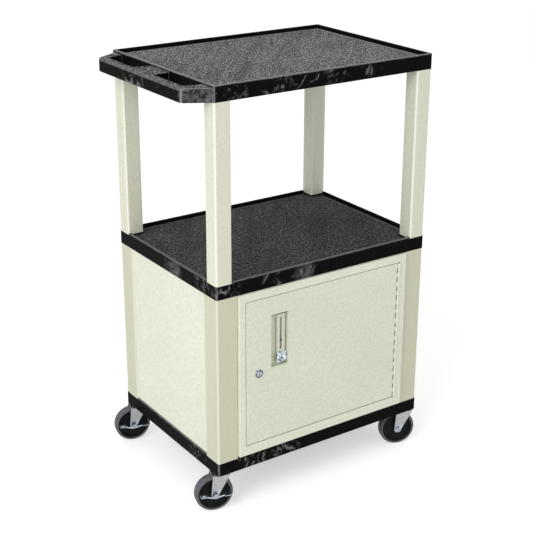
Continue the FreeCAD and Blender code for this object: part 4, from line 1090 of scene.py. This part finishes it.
class CART_OT_legs(bpy.types.Operator):
    """Finish the hollow legs"""

    bl_idname = "cart.legs"
    bl_label = "Legs"

    def execute(self, context):
        def on_corner(face):
            x, y, z = (abs(part) for part in face.normal)
            return max(x, y) < FLAT_SIDE and z < UPRIGHT

        for corner in CORNERS:
            for tier in ("lower", "upper"):
                piece = soften(f"{tier}_leg_{corner}", context.scene.cart_detail.sheet_edge)
                # Faces of the rounded corners, which take the painted highlight.
                mark(piece.data, "edge", on_corner)
        return {"FINISHED"}


class CART_OT_cabinet(bpy.types.Operator):
    """Finish the cabinet walls and the door frame"""

    bl_idname = "cart.cabinet"
    bl_label = "Cabinet"

    def execute(self, context):
        for node in ("left_panel", "right_panel", "back_panel", "door_frame"):
            soften(node, context.scene.cart_detail.sheet_edge)
        return {"FINISHED"}


class CART_OT_door(bpy.types.Operator):
    """Finish the door sheet"""

    bl_idname = "cart.door"
    bl_label = "Door"

    def execute(self, context):
        soften("door", context.scene.cart_detail.sheet_edge)
        return {"FINISHED"}


class CART_OT_hinge(bpy.types.Operator):
    """Build both leaves of the continuous hinge from rows of knuckles"""

    bl_idname = "cart.hinge"
    bl_label = "Continuous hinge"

    def execute(self, context):
        detail = context.scene.cart_detail
        axis = joint_frame("door_hinge").translation
        low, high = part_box("hinge_pin")
        pitch = (high.z - low.z) / detail.hinge_pairs
        tree = KnuckleRow().tree
        # Side of the axis, and the first knuckle's middle as a share of the pitch
        leaves = {"hinge_frame_leaf": (1, 0.25), "hinge_door_leaf": (-1, 0.75)}
        for node, (side, first) in leaves.items():
            leaf_low, leaf_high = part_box(node)
            face = leaf_high.x if side > 0 else leaf_low.x
            sizes = {
                "Knuckles": detail.hinge_pairs,
                "Pitch": pitch,
                "Knuckle length": pitch / 2 - detail.knuckle_gap,
                "Barrel radius": axis.y - leaf_low.y,
                "Leaf sheet": LEAF_SHEET,
                "Leaf width": leaf_high.y - axis.y,
                "Leaf middle": face - axis.x - side * LEAF_SHEET / 2,
                "First": low.z + first * pitch,
                "Low end": low.z,
                "Height": high.z - low.z,
                "Axis": (axis.x, axis.y, 0.0),
                "Finish": finish_for(SLOT_OF[node]),
            }
            add_piece(f"{node}_row", grown(f"{node}_row", tree, sizes), [node])
        coat("hinge_pin")
        return {"FINISHED"}


class CART_OT_pull(bpy.types.Operator):
    """Build the recessed pull: tray, two-bar lever and chromed grip"""

    bl_idname = "cart.pull"
    bl_label = "Recessed pull"

    def execute(self, context):
        soften("pull_pan", context.scene.cart_detail.sheet_edge)
        add_piece("pull_lever_bars", lever_mesh(), ["pull_lever"])
        add_piece("pull_grip_shell", grip_mesh(), ["pull_grip"])
        soften("pull_pin", EDGE_WIDTHS["pin"])
        return {"FINISHED"}


class CART_OT_lock(bpy.types.Operator):
    """Finish the cam lock"""

    bl_idname = "cart.lock"
    bl_label = "Cam lock"

    def execute(self, context):
        place = joint_frame("lock_turn")
        inverse = place.inverted()
        mesh = turned("lock_face", lock_profile(place), LOCK_STEPS, place)
        head = max((inverse @ vertex.co).z for vertex in mesh.vertices)

        def in_groove(face):
            centre = inverse @ face.calc_center_median()
            return 0 < centre.z < head - GROOVE_SHADE_DEPTH and centre.to_2d().length < HEAD_GROOVE

        def in_middle(face):
            return all((inverse @ corner.co).to_2d().length < PLUG_FACE for corner in face.verts)

        # The groove in the head and the plug's middle get painted shade.
        mark(mesh, "groove", in_groove)
        add_piece("lock_face", mesh, ["lock_body"])
        mark(soften("lock_plug", EDGE_WIDTHS["plug"]).data, "groove", in_middle)
        for node in ("lock_nut", "lock_cam", "cam_screw"):
            soften(node, EDGE_WIDTHS["cam"])
        return {"FINISHED"}


class CART_OT_casters(bpy.types.Operator):
    """Build the casters: forks, bolts, hubs and tyres"""

    bl_idname = "cart.casters"
    bl_label = "Casters"

    def execute(self, context):
        steps = context.scene.cart_detail.turning_steps
        coat("stem_sockets")
        for corner in CORNERS:
            place = joint_frame(f"roll_{corner}")
            axle = place.col[2].to_3d()
            for kind in ("fork", "stem"):
                soften(f"caster_{kind}_{corner}", EDGE_WIDTHS[kind])
            for kind in ("axle", "nut"):
                piece = soften(f"caster_{kind}_{corner}", EDGE_WIDTHS["bolt"])
                if corner in BRAKED:
                    # Painted shade on the flats; the end faces keep the plating's colour.
                    mark(piece.data, "groove", lambda face: abs(axle.dot(face.normal)) < END_FACE)
            coat(f"caster_bush_{corner}")
            for kind, section in (("tyre", tyre_profile), ("hub", hub_profile)):
                name = f"{kind}_{corner}"
                profile = section(*turned_sizes(f"wheel_{name}", place))
                add_piece(name, turned(name, profile, steps, place), [f"wheel_{name}"])
        return {"FINISHED"}


class CART_OT_brakes(bpy.types.Operator):
    """Finish the side brake levers"""

    bl_idname = "cart.brakes"
    bl_label = "Brake levers"

    def execute(self, context):
        for corner in BRAKED:
            mesh = soften(f"brake_lever_{corner}", EDGE_WIDTHS["brake"]).data
            ahead = joint_frame(f"roll_{corner}").col[2].to_3d().cross(Vector((0, 0, 1)))
            tip = max(ahead.dot(vertex.co) for vertex in mesh.vertices) - DIPPED_TIP
            mark(mesh, "dipped", lambda face: ahead.dot(face.calc_center_median()) > tip)
        return {"FINISHED"}


class CART_OT_stage(bpy.types.Operator):
    """Set the floor, the light and the camera"""

    bl_idname = "cart.stage"
    bl_label = "Stage"

    def execute(self, context):
        settings = context.scene.cart_stage
        make_floor(settings.floor_glow)
        make_sky(settings.sky)
        make_lamp("key_light", KEY_PLACE, settings.key_power)
        make_lamp("fill_light", FILL_PLACE, settings.fill_power)
        make_camera(settings)
        context.scene.view_settings.view_transform = "Standard"
        return {"FINISHED"}


# Add-on


class CART_PT_panel(bpy.types.Panel):
    """Pieces and settings of the cart"""

    bl_idname = "CART_PT_panel"
    bl_label = "Audio-visual cart"
    bl_space_type = "VIEW_3D"
    bl_region_type = "UI"
    bl_category = "Cart"

    def draw(self, context):
        for step in STEPS:
            self.layout.operator(step.bl_idname)
        for name in GROUPS:
            group = getattr(context.scene, name)
            box = self.layout.box()
            for setting in group.__annotations__:
                box.prop(group, setting)


GROUPS = {"cart_finishes": CartFinishes, "cart_detail": CartDetail, "cart_stage": CartStage}
STEPS = (
    CART_OT_shelves, CART_OT_legs, CART_OT_cabinet, CART_OT_door, CART_OT_hinge, CART_OT_pull,
    CART_OT_lock, CART_OT_casters, CART_OT_brakes, CART_OT_stage,
)
CLASSES = (*GROUPS.values(), *STEPS, CART_PT_panel)


def register():
    for item in CLASSES:
        bpy.utils.register_class(item)
    for name, group in GROUPS.items():
        setattr(bpy.types.Scene, name, PointerProperty(type=group))


def unregister():
    for name in GROUPS:
        delattr(bpy.types.Scene, name)
    for item in reversed(CLASSES):
        bpy.utils.unregister_class(item)


def main():
    register()
    bpy.ops.cart.shelves()
    bpy.ops.cart.legs()
    bpy.ops.cart.cabinet()
    bpy.ops.cart.door()
    bpy.ops.cart.hinge()
    bpy.ops.cart.pull()
    bpy.ops.cart.lock()
    bpy.ops.cart.casters()
    bpy.ops.cart.brakes()
    bpy.ops.cart.stage()


if __name__ == "__main__":
    main()
